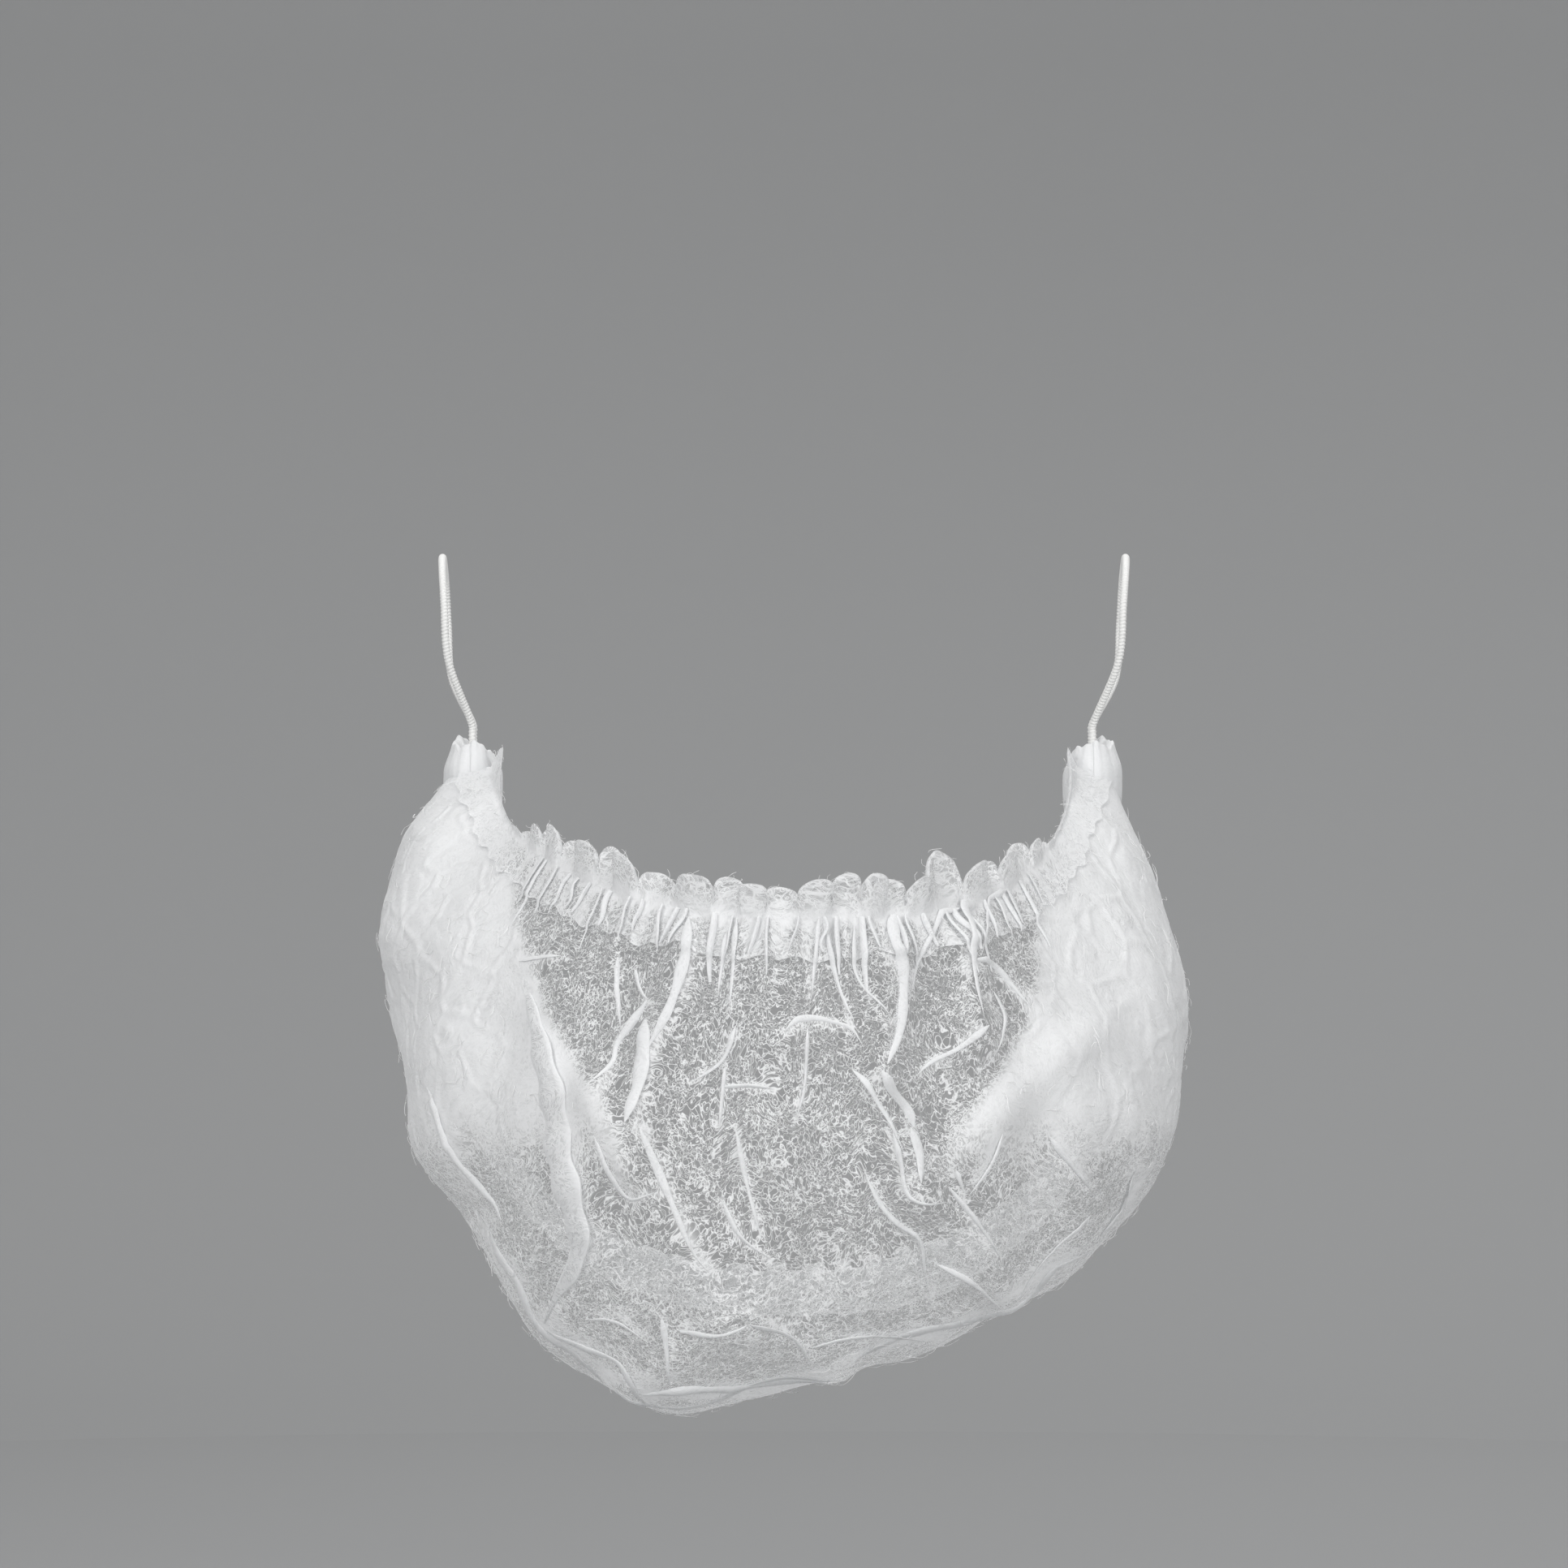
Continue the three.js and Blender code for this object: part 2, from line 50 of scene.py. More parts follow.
# The picture: its size, the place of the net's middle line in it and the size of a pixel at the origin
PICTURE_SIZE = 1932.0
PICTURE_MIDDLE_X = 968.0
PICTURE_MIDDLE_Y = 966.0
PIXEL = 0.00017

# The camera is level, in front of the net, at the height of the net's upper end
CAMERA_DISTANCE = 1.3
CAMERA_HEIGHT = -0.048
SENSOR_WIDTH = 36.0

# Names of the mesh layers that the finishes read
CLOTH_UV = "cloth"
# On the pouch the cover layer also holds painted shade beside the creases.
COVER = "cover"

# Share of across or down that slopes are measured over
SLOPE_STEP = 1e-3

# How far the cloth of a hem and its frill stand off the bag, in metres
HEM_STANDOFF = 0.0006


class Side(Enum):
    """The two sides of the net, as seen from the front."""

    LEFT = -1
    RIGHT = 1


class Slot(Enum):
    """Names for the net's material slots."""

    POUCH = "pouch_cloth"
    HEM = "hem_cloth"
    GATHER = "gathered_cloth"
    ELASTIC = "knitted_elastic"


# Helpers for shapes


def fade(value: Array, start: float, end: float) -> Array:
    """Give a smooth step from 0 at start to 1 at end.

    Args:
        value: Numbers to step on.
        start: Where the step is 0.
        end: Where the step is 1; it may lie below start.

    Returns:
        The step, from 0 to 1.
    """
    share = np.clip((np.asarray(value, float) - start) / (end - start), 0.0, 1.0)
    return share * share * (3.0 - 2.0 * share)


def waves(place: Array, rows: Sequence[tuple[float, float, float]]) -> Array:
    """Add up sine waves.

    Args:
        place: Where the waves are read.
        rows: Each wave's height, its radians to a unit of place and its shift in radians.

    Returns:
        The sum of the waves.
    """
    return sum(height * np.sin(rate * place + shift) for height, rate, shift in rows)


def through_rows(values: Array, share: Array) -> Array:
    """Run a smooth curve through evenly spaced rows.

    Args:
        values: The rows' values.
        share: Places along the rows, from 0 to 1.

    Returns:
        The curve's values at those places.
    """
    values = np.asarray(values, float)
    place = np.clip(share, 0.0, 1.0) * (len(values) - 1)
    row = np.minimum(len(values) - 2, np.floor(place)).astype(int)
    part = place - row
    before = values[np.maximum(row - 1, 0)]
    here, after = values[row], values[row + 1]
    beyond = values[np.minimum(row + 2, len(values) - 1)]
    cubic = 3.0 * (here - after) + beyond - before
    square = 2.0 * before - 5.0 * here + 4.0 * after - beyond
    return here + 0.5 * part * (after - before + part * (square + part * cubic))


def unit(vectors: Array) -> Array:
    """Scale vectors to length one."""
    length = np.linalg.norm(vectors, axis=-1, keepdims=True)
    return vectors / np.maximum(length, 1e-12)


def lengths_along(points: Array) -> Array:
    """Give the length from the first point of a path to each of its points."""
    steps = np.linalg.norm(np.diff(points, axis=0), axis=1)
    return np.concatenate([[0.0], np.cumsum(steps)])


def distance_to_run(places: Array, start: Array, end: Array) -> Array:
    """Measure how far places lie from a straight run.

    Args:
        places: Places, in a last axis of two.
        start: The run's start.
        end: The run's end.

    Returns:
        One distance to a place.
    """
    run = end - start
    along = np.clip((places - start) @ run / (run @ run), 0.0, 1.0)
    return np.linalg.norm(places - start - along[..., None] * run, axis=-1)


def to_picture(points: Array) -> tuple[Array, Array]:
    """Find where points lie in the picture.

    Args:
        points: Points in metres, in the last axis.

    Returns:
        Their distance in pixels from the picture's left side and from its top.
    """
    shrink = CAMERA_DISTANCE / (CAMERA_DISTANCE + points[..., 1]) / PIXEL
    right = PICTURE_MIDDLE_X + points[..., 0] * shrink
    down = PICTURE_MIDDLE_Y - (points[..., 2] - CAMERA_HEIGHT) * shrink
    return right, down


def rough_noise(points: Array, scale: float, seed: float) -> Array:
    """Sample soft noise at many points.

    Args:
        points: Points, one to a row.
        scale: Waves per metre.
        seed: Shift that picks another pattern.

    Returns:
        One value to a point, about -1 to 1.
    """
    shift = Vector((seed, seed * 1.7, seed * 0.3))
    values = [noise.noise(Vector(point) * scale + shift) for point in points.reshape(-1, 3)]
    return np.array(values).reshape(points.shape[:-1])


def crumple_edges(points: Array, scale: float, seed: float) -> Array:
    """Sample how near points lie to the edges of a net of irregular cells.

    Args:
        points: Points, one to a row.
        scale: Cells per metre.
        seed: Shift that picks another pattern.

    Returns:
        Zero on an edge, growing to about 0.7 in the middle of a cell.
    """
    shift = Vector((seed, seed * 0.6, seed * 1.9))
    found = np.empty(points.reshape(-1, 3).shape[0])
    for index, point in enumerate(points.reshape(-1, 3)):
        distances = noise.voronoi(Vector(point) * scale + shift)[0]
        found[index] = distances[1] - distances[0]
    return found.reshape(points.shape[:-1])


# Points that a smooth path is worked out at between two of its given points
POINTS_TO_A_SPAN = 24


def smooth_path(points: Array, count: int) -> Array:
    """Run a centripetal curve through points and space the result evenly.

    Args:
        points: The points to pass, one to a row.
        count: How many points come back.

    Returns:
        Evenly spaced points on the curve.
    """
    points = np.asarray(points, float)
    ends = np.vstack([2 * points[0] - points[1], points, 2 * points[-1] - points[-2]])
    knots = np.concatenate([[0.0], np.cumsum(np.linalg.norm(np.diff(ends, axis=0), axis=1) ** 0.5)])
    pieces = []
    for first in range(len(points) - 1):
        t0, t1, t2, t3 = knots[first:first + 4]
        p0, p1, p2, p3 = ends[first:first + 4]
        t = np.linspace(t1, t2, POINTS_TO_A_SPAN)[:, None]
        a1 = (t1 - t) / (t1 - t0) * p0 + (t - t0) / (t1 - t0) * p1
        a2 = (t2 - t) / (t2 - t1) * p1 + (t - t1) / (t2 - t1) * p2
        a3 = (t3 - t) / (t3 - t2) * p2 + (t - t2) / (t3 - t2) * p3
        b1 = (t2 - t) / (t2 - t0) * a1 + (t - t0) / (t2 - t0) * a2
        b2 = (t3 - t) / (t3 - t1) * a2 + (t - t1) / (t3 - t1) * a3
        pieces.append((t2 - t) / (t2 - t1) * b1 + (t - t1) / (t2 - t1) * b2)
    fine = np.vstack(pieces)
    length = lengths_along(fine)
    wanted = np.linspace(0.0, length[-1], count)
    return np.stack([np.interp(wanted, length, fine[:, axis]) for axis in range(fine.shape[1])], axis=1)


# Form of the bag


@dataclass(frozen=True)
class BagForm:
    """The bag's form without its gathers, in metres. across runs from -1 to 1, down from 0 to 1."""

    half_width: float = 0.082
    drop: float = 0.128
    bottom_reach: float = 0.074
    chest_swell: float = 0.020
    side_swell: float = 0.007
    end_below_ears: float = 0.044
    end_forward: float = 0.004
    end_front_x: float = 0.0595
    end_front_setoff: float = 0.007
    end_back_x: float = 0.0635
    end_back_setoff: float = 0.009
    nose_reach: float = 0.096
    nose_drop: float = 0.030
    right_cheek_sag: float = 0.004
    throat_reach: float = 0.052
    throat_drop: float = 0.104
    jaw_half_width: float = 0.071
    outline_share: float = 0.7
    end_pinch: float = 0.30
    pinched: tuple[float, float] = (0.86, 0.99)
    tapered: tuple[float, float] = (0.84, 0.99)
    outline_x: tuple[float, ...] = (
        -0.86, -0.96, -1.0, -0.95, -0.875, -0.74, -0.59, -0.36, -0.09,
        0.18, 0.455, 0.71, 0.885, 0.95, 1.015, 0.93, 0.845,
    )
    outline_drop: tuple[float, ...] = (
        0.0, 0.12, 0.3, 0.46, 0.61, 0.75, 0.885, 0.975, 0.985,
        0.93, 0.868, 0.785, 0.672, 0.56, 0.41, 0.18, 0.0,
    )

    def nose_edge(self, across: Array) -> Array:
        """Give points of the upper edge.

        Args:
            across: Places from one end to the other, -1 to 1.

        Returns:
            The points, in a last axis of three.
        """
        turn = math.pi / 2 * np.asarray(across, float)
        forward = np.maximum(0.0, np.cos(turn))
        sag = np.where(turn > 0, self.right_cheek_sag * np.sin(2 * turn) ** 2, 0.0)
        return np.stack([
            self.end_front_x * np.sin(turn),
            -self.end_forward - self.end_front_setoff - self.nose_reach * forward,
            -self.end_below_ears - self.nose_drop * forward ** 0.9 - sag,
        ], axis=-1)

    def outline_edge(self, across: Array) -> Array:
        """Give points of the outline that the bag shows from the front.

        Args:
            across: Places from one end to the other, -1 to 1.

        Returns:
            The points, in a last axis of three.
        """
        share = (np.asarray(across, float) + 1.0) / 2.0
        forward = np.maximum(0.0, np.cos(math.pi / 2 * np.asarray(across, float)))
        return np.stack([
            self.half_width * through_rows(self.outline_x, share),
            -self.end_forward - self.bottom_reach * forward,
            -self.end_below_ears - self.drop * through_rows(self.outline_drop, share),
        ], axis=-1)

    def throat_edge(self, across: Array) -> Array:
        """Give points of the back edge.

        Args:
            across: Places from one end to the other, -1 to 1.

        Returns:
            The points, in a last axis of three.
        """
        across = np.asarray(across, float)
        turn = math.pi / 2 * across
        forward = np.maximum(0.0, np.cos(turn))
        side = np.abs(np.sin(turn)) ** 0.9
        pinch = (self.jaw_half_width - self.end_back_x) * np.abs(across) ** 8
        return np.stack([
            np.sign(across) * (self.jaw_half_width * side - pinch),
            -self.end_forward + self.end_back_setoff - self.throat_reach * forward ** 1.8,
            -self.end_below_ears - self.throat_drop * forward ** 0.55,
        ], axis=-1)

    def smooth(self, across: Array, down: Array) -> Array:
        """Give points of the smooth bag.

        Args:
            across: Places from one end to the other, -1 to 1.
            down: Places from the upper edge to the back edge, 0 to 1, of the same shape.

        Returns:
            The points, in a last axis of three.
        """
        across, down = np.broadcast_arrays(np.asarray(across, float), np.asarray(down, float))
        front, outline, back = self.nose_edge(across), self.outline_edge(across), self.throat_edge(across)
        turn = math.pi / 2 * (down / self.outline_share)
        forward = np.cos(math.pi / 2 * across)
        swell = self.side_swell + (self.chest_swell - self.side_swell) * forward
        swell = swell * (1.0 - 0.9 * fade(np.abs(across), *self.tapered))
        chest = front + (outline - front) * np.sin(turn)[..., None]
        chest[..., 1] = front[..., 1] + (outline[..., 1] - front[..., 1]) * (1 - np.cos(turn))
        chest[..., 1] -= swell * np.sin(2 * turn)
        turn = math.pi / 2 * ((down - self.outline_share) / (1 - self.outline_share))
        under = outline + (back - outline) * (1 - np.cos(turn))[..., None]
        under[..., 1] = outline[..., 1] + (back[..., 1] - outline[..., 1]) * np.sin(turn)
        bag = np.where((down <= self.outline_share)[..., None], chest, under)
        same = np.ones(across.shape)
        middle = self.end_centre(Side.RIGHT) * np.stack([np.sign(across), same, same], axis=-1)
        pinch = self.end_pinch * fade(np.abs(across), *self.pinched)[..., None] * np.array([1.0, 1.0, 0.0])
        return bag + (middle - bag) * pinch

    def outward(self, across: Array, down: Array) -> Array:
        """Give the smooth bag's directions outwards.

        Args:
            across: Places across.
            down: Places down.

        Returns:
            Directions of length one, in a last axis of three.
        """
        low, high = np.maximum(-1.0, across - SLOPE_STEP), np.minimum(1.0, across + SLOPE_STEP)
        up, below = np.maximum(0.0, down - SLOPE_STEP), np.minimum(1.0, down + SLOPE_STEP)
        along = self.smooth(high, down) - self.smooth(low, down)
        fall = self.smooth(across, below) - self.smooth(across, up)
        return unit(np.cross(fall, along))

    def fall(self, across: Array, at_throat: bool = False) -> Array:
        """Give the way that the cloth runs downwards at one of its two edges.

        Args:
            across: Places across.
            at_throat: Whether the edge is the back edge.

        Returns:
            Metres of cloth to a whole share of down, in a last axis of three.
        """
        across = np.asarray(across, float)
        start, end = (1.0 - SLOPE_STEP, 1.0) if at_throat else (0.0, SLOPE_STEP)
        run = self.smooth(across, across * 0.0 + end) - self.smooth(across, across * 0.0 + start)
        return run / SLOPE_STEP

    def end_centre(self, side: Side) -> Array:
        """Give the middle of one end of the bag.

        Args:
            side: Which end.

        Returns:
            The point.
        """
        sign = float(side.value)
        front, outer, back = self.nose_edge(sign), self.outline_edge(sign), self.throat_edge(sign)
        inner = min(abs(front[0]), abs(back[0]))
        return np.array([sign * (inner + abs(outer[0])) / 2, (front[1] + back[1]) / 2, -self.end_below_ears])


@dataclass(frozen=True)
class BigFold:
    """A broad fold of the bag from the front: shares of half_width and drop, width and height in metres."""

    from_x: float
    from_drop: float
    to_x: float
    to_drop: float
    width: float
    height: float

    def ends(self, form: BagForm) -> tuple[Array, Array]:
        """Find the fold's two ends.

        Args:
            form: The bag's form.

        Returns:
            Both ends as seen from the front, sideways and upwards in metres.
        """
        sideways = np.array([self.from_x, self.to_x]) * form.half_width
        upwards = -form.end_below_ears - np.array([self.from_drop, self.to_drop]) * form.drop
        return np.array([sideways[0], upwards[0]]), np.array([sideways[1], upwards[1]])


BIG_FOLDS = (
    BigFold(-0.21, 0.23, -0.35, 0.60, 0.0042, 0.0030),
    BigFold(0.26, 0.21, 0.21, 0.47, 0.0040, 0.0032),
    BigFold(0.21, 0.47, 0.31, 0.65, 0.0040, 0.0030),
    BigFold(0.40, 0.16, 0.45, 0.42, 0.0046, 0.0032),
    BigFold(-0.06, 0.42, 0.16, 0.41, 0.0042, 0.0022),
    BigFold(-0.43, 0.52, -0.53, 0.82, 0.0075, 0.0040),
    BigFold(-0.42, 0.50, -0.16, 0.82, 0.0045, 0.0026),
    BigFold(0.31, 0.65, 0.52, 0.80, 0.0046, 0.0026),
    BigFold(0.40, 0.58, 0.72, 0.42, 0.0050, 0.0022),
    BigFold(-0.09, 0.83, -0.35, 0.93, 0.0045, 0.0024),
    BigFold(-0.09, 0.83, 0.12, 0.92, 0.0045, 0.0024),
    BigFold(-0.12, 0.62, 0.06, 0.75, 0.0080, -0.0024),
    BigFold(-0.66, 0.42, -0.72, 0.68, 0.0070, -0.0026),
    BigFold(0.62, 0.48, 0.62, 0.70, 0.0070, -0.0024),
)


@dataclass(frozen=True)
class Puff:
    """Waves of slack cloth: waves round the bag and down it, lean in radians, height in metres."""

    around: float
    down: float
    lean: float
    height: float


PUFFS = (Puff(5.5, 1.5, 0.9, 0.0009), Puff(9.0, -2.5, 2.3, 0.0007), Puff(14.0, 3.5, 4.1, 0.00045))


@dataclass(frozen=True)
class Crease:
    """A narrow fold laid flat on the cloth: places in the picture and its width there, in pixels.

    The fold leaves the cloth over the share root of its length.
    """

    path: tuple[tuple[float, float], ...]
    width: float
    end_width: float = 2.0
    lift: float = 0.0006
    root: float = 0.2


CREASES = (
    Crease(((853, 1133), (854, 1169), (845, 1207), (831, 1250), (804, 1299)), 15, 8),
    Crease(((800, 1260), (798, 1329), (784, 1388)), 22, 14, 0.0009),
    Crease(((763, 1179), (763, 1220), (767, 1268)), 8),
    Crease(((784, 1194), (796, 1227), (804, 1235)), 8),
    Crease(((802, 1235), (779, 1266), (763, 1289), (761, 1309), (738, 1350)), 11),
    Crease(((911, 1133), (904, 1212), (901, 1245)), 8),
    Crease(((899, 1148), (891, 1189), (886, 1225)), 6),
    Crease(((909, 1266), (893, 1306), (853, 1334)), 8),
    Crease(((896, 1314), (888, 1390)), 6),
    Crease(((893, 1340), (925, 1338), (957, 1343)), 6),
    Crease(((641, 1184), (668, 1180), (694, 1178)), 8, 3, 0.0003),
    Crease(((1103, 1112), (1097, 1169), (1107, 1194), (1109, 1245), (1103, 1283), (1085, 1319)),
           15, 10, 0.0009),
    Crease(((1050, 1319), (1065, 1340), (1078, 1360), (1093, 1383), (1110, 1420)), 10),
    Crease(((1078, 1327), (1093, 1347), (1116, 1368), (1126, 1390)), 12, 10),
    Crease(((1177, 1064), (1187, 1133), (1190, 1189), (1194, 1222), (1204, 1266)), 21, 2, 0.0011),
    Crease(((1191, 1192), (1220, 1194), (1246, 1215), (1271, 1243)), 10),
    Crease(((1218, 1227), (1236, 1255), (1233, 1278), (1223, 1304)), 8),
    Crease(((970, 1273), (983, 1260), (999, 1257), (1021, 1260), (1044, 1268), (1060, 1291)), 9),
    Crease(((996, 1268), (992, 1347), (981, 1383)), 5),
    Crease(((1210, 1271), (1180, 1294), (1149, 1309), (1129, 1327)), 9),
    Crease(((1010, 1133), (1005, 1194), (1002, 1227)), 8),
    Crease(((1015, 1138), (1034, 1209), (1052, 1263)), 7),
    Crease(((1053, 1141), (1055, 1194), (1078, 1240), (1098, 1266)), 7),
    Crease(((1172, 1087), (1152, 1143), (1134, 1179), (1121, 1227)), 9),
    Crease(((1218, 1056), (1215, 1125), (1199, 1189)), 9),
    Crease(((652, 1225), (676, 1310), (692, 1370), (702, 1425), (716, 1475), (724, 1524), (716, 1560),
            (698, 1588), (682, 1622)), 78, 12, 0.0014, 0.62),
    Crease(((799, 1395), (816, 1441), (837, 1492), (860, 1543), (878, 1566)), 12),
    Crease(((748, 1405), (763, 1446), (783, 1477), (814, 1469)), 10),
    Crease(((908, 1390), (921, 1456), (939, 1523)), 7),
    Crease(((890, 1479), (913, 1523), (952, 1553)), 7),
    Crease(((842, 1635), (884, 1628), (924, 1615)), 6),
    Crease(((924, 1615), (956, 1632), (982, 1648), (1003, 1678)), 8),
    Crease(((819, 1620), (828, 1660), (832, 1694)), 8),
    Crease(((681, 1630), (735, 1658), (773, 1673), (799, 1709), (801, 1727)), 15, 8, 0.0009),
    Crease(((799, 1699), (850, 1699), (921, 1714), (970, 1709), (1018, 1694)), 13, 6, 0.0009),
    Crease(((732, 1620), (763, 1622), (804, 1648)), 7),
    Crease(((1120, 1390), (1130, 1423), (1128, 1456)), 13, 8),
    Crease(((1097, 1395), (1107, 1433), (1117, 1474), (1163, 1479)), 7),
    Crease(((1071, 1451), (1087, 1484), (1107, 1507), (1135, 1528), (1143, 1566), (1151, 1607)), 8),
    Crease(((1174, 1441), (1186, 1469)), 6),
    Crease(((1230, 1398), (1217, 1433), (1189, 1474)), 7),
    Crease(((1166, 1461), (1199, 1502), (1227, 1543)), 7),
    Crease(((1156, 1558), (1189, 1569), (1230, 1602)), 8),
    Crease(((1304, 1398), (1327, 1433), (1355, 1472)), 9),
    Crease(((1352, 1500), (1288, 1553), (1242, 1592)), 10),
    Crease(((1000, 1655), (1051, 1645), (1122, 1648), (1163, 1648)), 9),
    Crease(((586, 1508), (640, 1570), (668, 1622), (712, 1664), (748, 1702)), 14, 12, 0.0006),
    Crease(((752, 1690), (800, 1716), (880, 1722), (960, 1706), (1040, 1682)), 13, 10, 0.0005),
    Crease(((1050, 1672), (1130, 1640), (1210, 1618), (1270, 1590), (1300, 1562), (1350, 1542)),
           14, 10, 0.0005),
    Crease(((1362, 1528), (1392, 1492), (1404, 1440)), 16, 8, 0.0007),
    Crease(((530, 1340), (552, 1404), (580, 1462), (612, 1506)), 10, 7, 0.0009),
)

# A laid fold's section: shares of its width sideways and of its lift upwards, out along the top and back
FLAP_SECTION = (
    (-0.50, 0.10), (-0.30, 0.30), (0.00, 0.45), (0.30, 0.55), (0.47, 0.60), (0.52, 0.78),
    (0.47, 0.98), (0.25, 1.08), (-0.05, 1.05), (-0.32, 0.80), (-0.47, 0.35), (-0.54, 0.0),
)

# Where the cloth is stretched and shows one open layer: the contour's places in the picture
STRETCHED_CONTOUR = (
    (640, 1130), (680, 1250), (740, 1350), (800, 1450), (860, 1500),
    (1000, 1530), (1140, 1440), (1220, 1340), (1270, 1250), (1280, 1180), (1280, 1080), (640, 1020),
)


# Points that an edge's length is measured through
EDGE_POINTS = 801


@dataclass
class Cloth:
    """The bag's cloth: its form with gathers, folds and crumples, and how closely it covers."""

    form: BagForm = field(default_factory=BagForm)
    gather_pitch: float = 0.0052
    pitch_sway: tuple[tuple[float, float, float], ...] = ((0.55, 187.0, 0.4), (0.4, 431.0, 2.0))
    gather_height: float = 0.0012
    elastic_gather_height: float = 0.0005
    gather_length: float = 0.034
    hem_width: float = 0.0084
    throat_hem_width: float = 0.0075
    crumple_height: float = 0.00036
    crumple_cell: float = 0.011
    least_cover: float = -0.4
    under_cover: float = -0.4
    open_cover: float = 0.07
    side_cover: float = 0.95
    side_heights: tuple[float, float] = (-0.128, -0.108)
    contour_blend: tuple[float, float] = (-14.0, 16.0)
    gathers_fade: tuple[float, float] = (0.52, 0.16)
    least_gather: float = 0.04
    warp: float = 0.004
    warp_waves: float = 60.0
    fine_cells: float = 2.4
    ridge_width: float = 0.10
    fine_ridge_width: float = 0.14
    roll_band: tuple[float, float] = (0.0062, 0.0040)
    roll_line: float = 0.0047
    roll_line_sway: float = 0.0008
    roll_line_width: float = 0.0006
    rim_width: float = 0.0009
    roll_cover: float = 0.28
    line_cover: float = 0.30
    end_closes: tuple[float, float] = (0.62, 0.92)
    stretch_ends: tuple[float, float] = (0.62, 0.58)

    def __post_init__(self) -> None:
        """Measure the upper edge, along which gathers are pitched."""
        self.edge_across = np.linspace(-1.0, 1.0, EDGE_POINTS)
        self.edge_length = lengths_along(self.form.nose_edge(self.edge_across))

    def length_at(self, across: Array) -> Array:
        """Give the length along the upper edge from the left end."""
        return np.interp(across, self.edge_across, self.edge_length)

    def across_at(self, length: Array) -> Array:
        """Give the place across at a length along the upper edge."""
        return np.interp(length, self.edge_length, self.edge_across)

    def phase(self, across: Array) -> Array:
        """Give the phase of the gathers, with an uneven pitch.

        Args:
            across: Places across.

        Returns:
            Angles in radians, one turn to a gather.
        """
        length = self.length_at(across)
        return 2 * math.pi * length / self.gather_pitch + 1.4 * waves(length, self.pitch_sway)

    def big_folds(self, points: Array) -> Array:
        """Add up the broad folds.

        Args:
            points: Points of the smooth bag.

        Returns:
            Heights in metres.
        """
        height = np.zeros(points.shape[:-1])
        for fold in BIG_FOLDS:
            away = distance_to_run(points[..., [0, 2]], *fold.ends(self.form)) / fold.width
            height += fold.height * np.exp(-away * away)
        return height

    def relief(self, across: Array, down: Array, points: Array) -> Array:
        """Give the height of the cloth over the smooth bag.

        Args:
            across: Places across.
            down: Places down.
            points: The smooth bag's points there.

        Returns:
            Heights in metres.
        """
        form = self.form
        from_nose = down * np.linalg.norm(form.fall(across), axis=-1)
        from_throat = (1.0 - down) * np.linalg.norm(form.fall(across, at_throat=True), axis=-1)
        phase = self.phase(across)
        gathers = self.gathers(across, from_nose, phase)
        throat = self.elastic_gather_height * fade(from_throat, self.gather_length, 0.0) * np.sin(phase * 0.8)
        clear = fade(from_nose, 0.0, self.hem_width) * fade(from_throat, 0.0, self.throat_hem_width)
        near_outline = fade(down, form.outline_share, form.outline_share * 0.85)
        folds = np.where(down < form.outline_share, self.big_folds(points) * near_outline, 0.0)
        middle = np.sin(math.pi * np.clip(down, 0.0, 1.0))
        puffs = sum(
            middle * puff.height * np.sin(math.pi * (puff.around * across + puff.down * down) + puff.lean)
            for puff in PUFFS
        )
        towards_end = fade(np.abs(across), 0.98, 0.7)
        return towards_end * (gathers + throat + clear * (folds + puffs))

    def gathers(self, across: Array, from_nose: Array, phase: Array) -> Array:
        """Give the height of the gathers that run down from the upper edge.

        Args:
            across: Places across.
            from_nose: Metres from the upper edge.
            phase: The gathers' phase.

        Returns:
            Heights in metres.
        """
        reach = self.gather_length * (0.75 + 0.45 * np.sin(3.1 * np.round(phase / (2 * math.pi)) + 1.0))
        reach = np.maximum(reach, self.hem_width * 1.5)
        growth = self.elastic_gather_height + (self.gather_height - self.elastic_gather_height) * fade(
            from_nose, 0.0, self.hem_width)
        ebb = 1.0 - np.clip((from_nose - self.hem_width) / reach, 0.0, 1.0)
        sharp = 1.0 - 1.6 * np.abs(np.sin(phase / 2.0)) ** 0.7
        uneven = 0.65 + 0.35 * np.sin(self.length_at(across) * 263.0 + 1.7)
        shown = self.least_gather + (1.0 - self.least_gather) * fade(np.abs(across), *self.gathers_fade)
        return growth * ebb ** 1.5 * sharp * uneven * shown

    def crumple(self, points: Array) -> tuple[Array, Array]:
        """Give the small creases of crisp cloth.

        Args:
            points: Points of the smooth bag.

        Returns:
            Heights in metres, and how near a crease is, from 0 to 1.
        """
        drift = [rough_noise(points, self.warp_waves, seed) for seed in (3.0, 11.0, 23.0)]
        place = points + self.warp * np.stack(drift, axis=-1)
        coarse = crumple_edges(place, 1.0 / self.crumple_cell, 5.0)
        fine = crumple_edges(place, self.fine_cells / self.crumple_cell, 17.0)
        ridge = np.exp(-((coarse / self.ridge_width) ** 2))
        small_ridge = np.exp(-((fine / self.fine_ridge_width) ** 2))
        facets = 1.3 * np.minimum(coarse, 0.5) + 0.5 * np.minimum(fine, 0.4) + 0.7 * ridge
        return self.crumple_height * facets, np.clip(ridge + 0.45 * small_ridge, 0.0, 1.0)

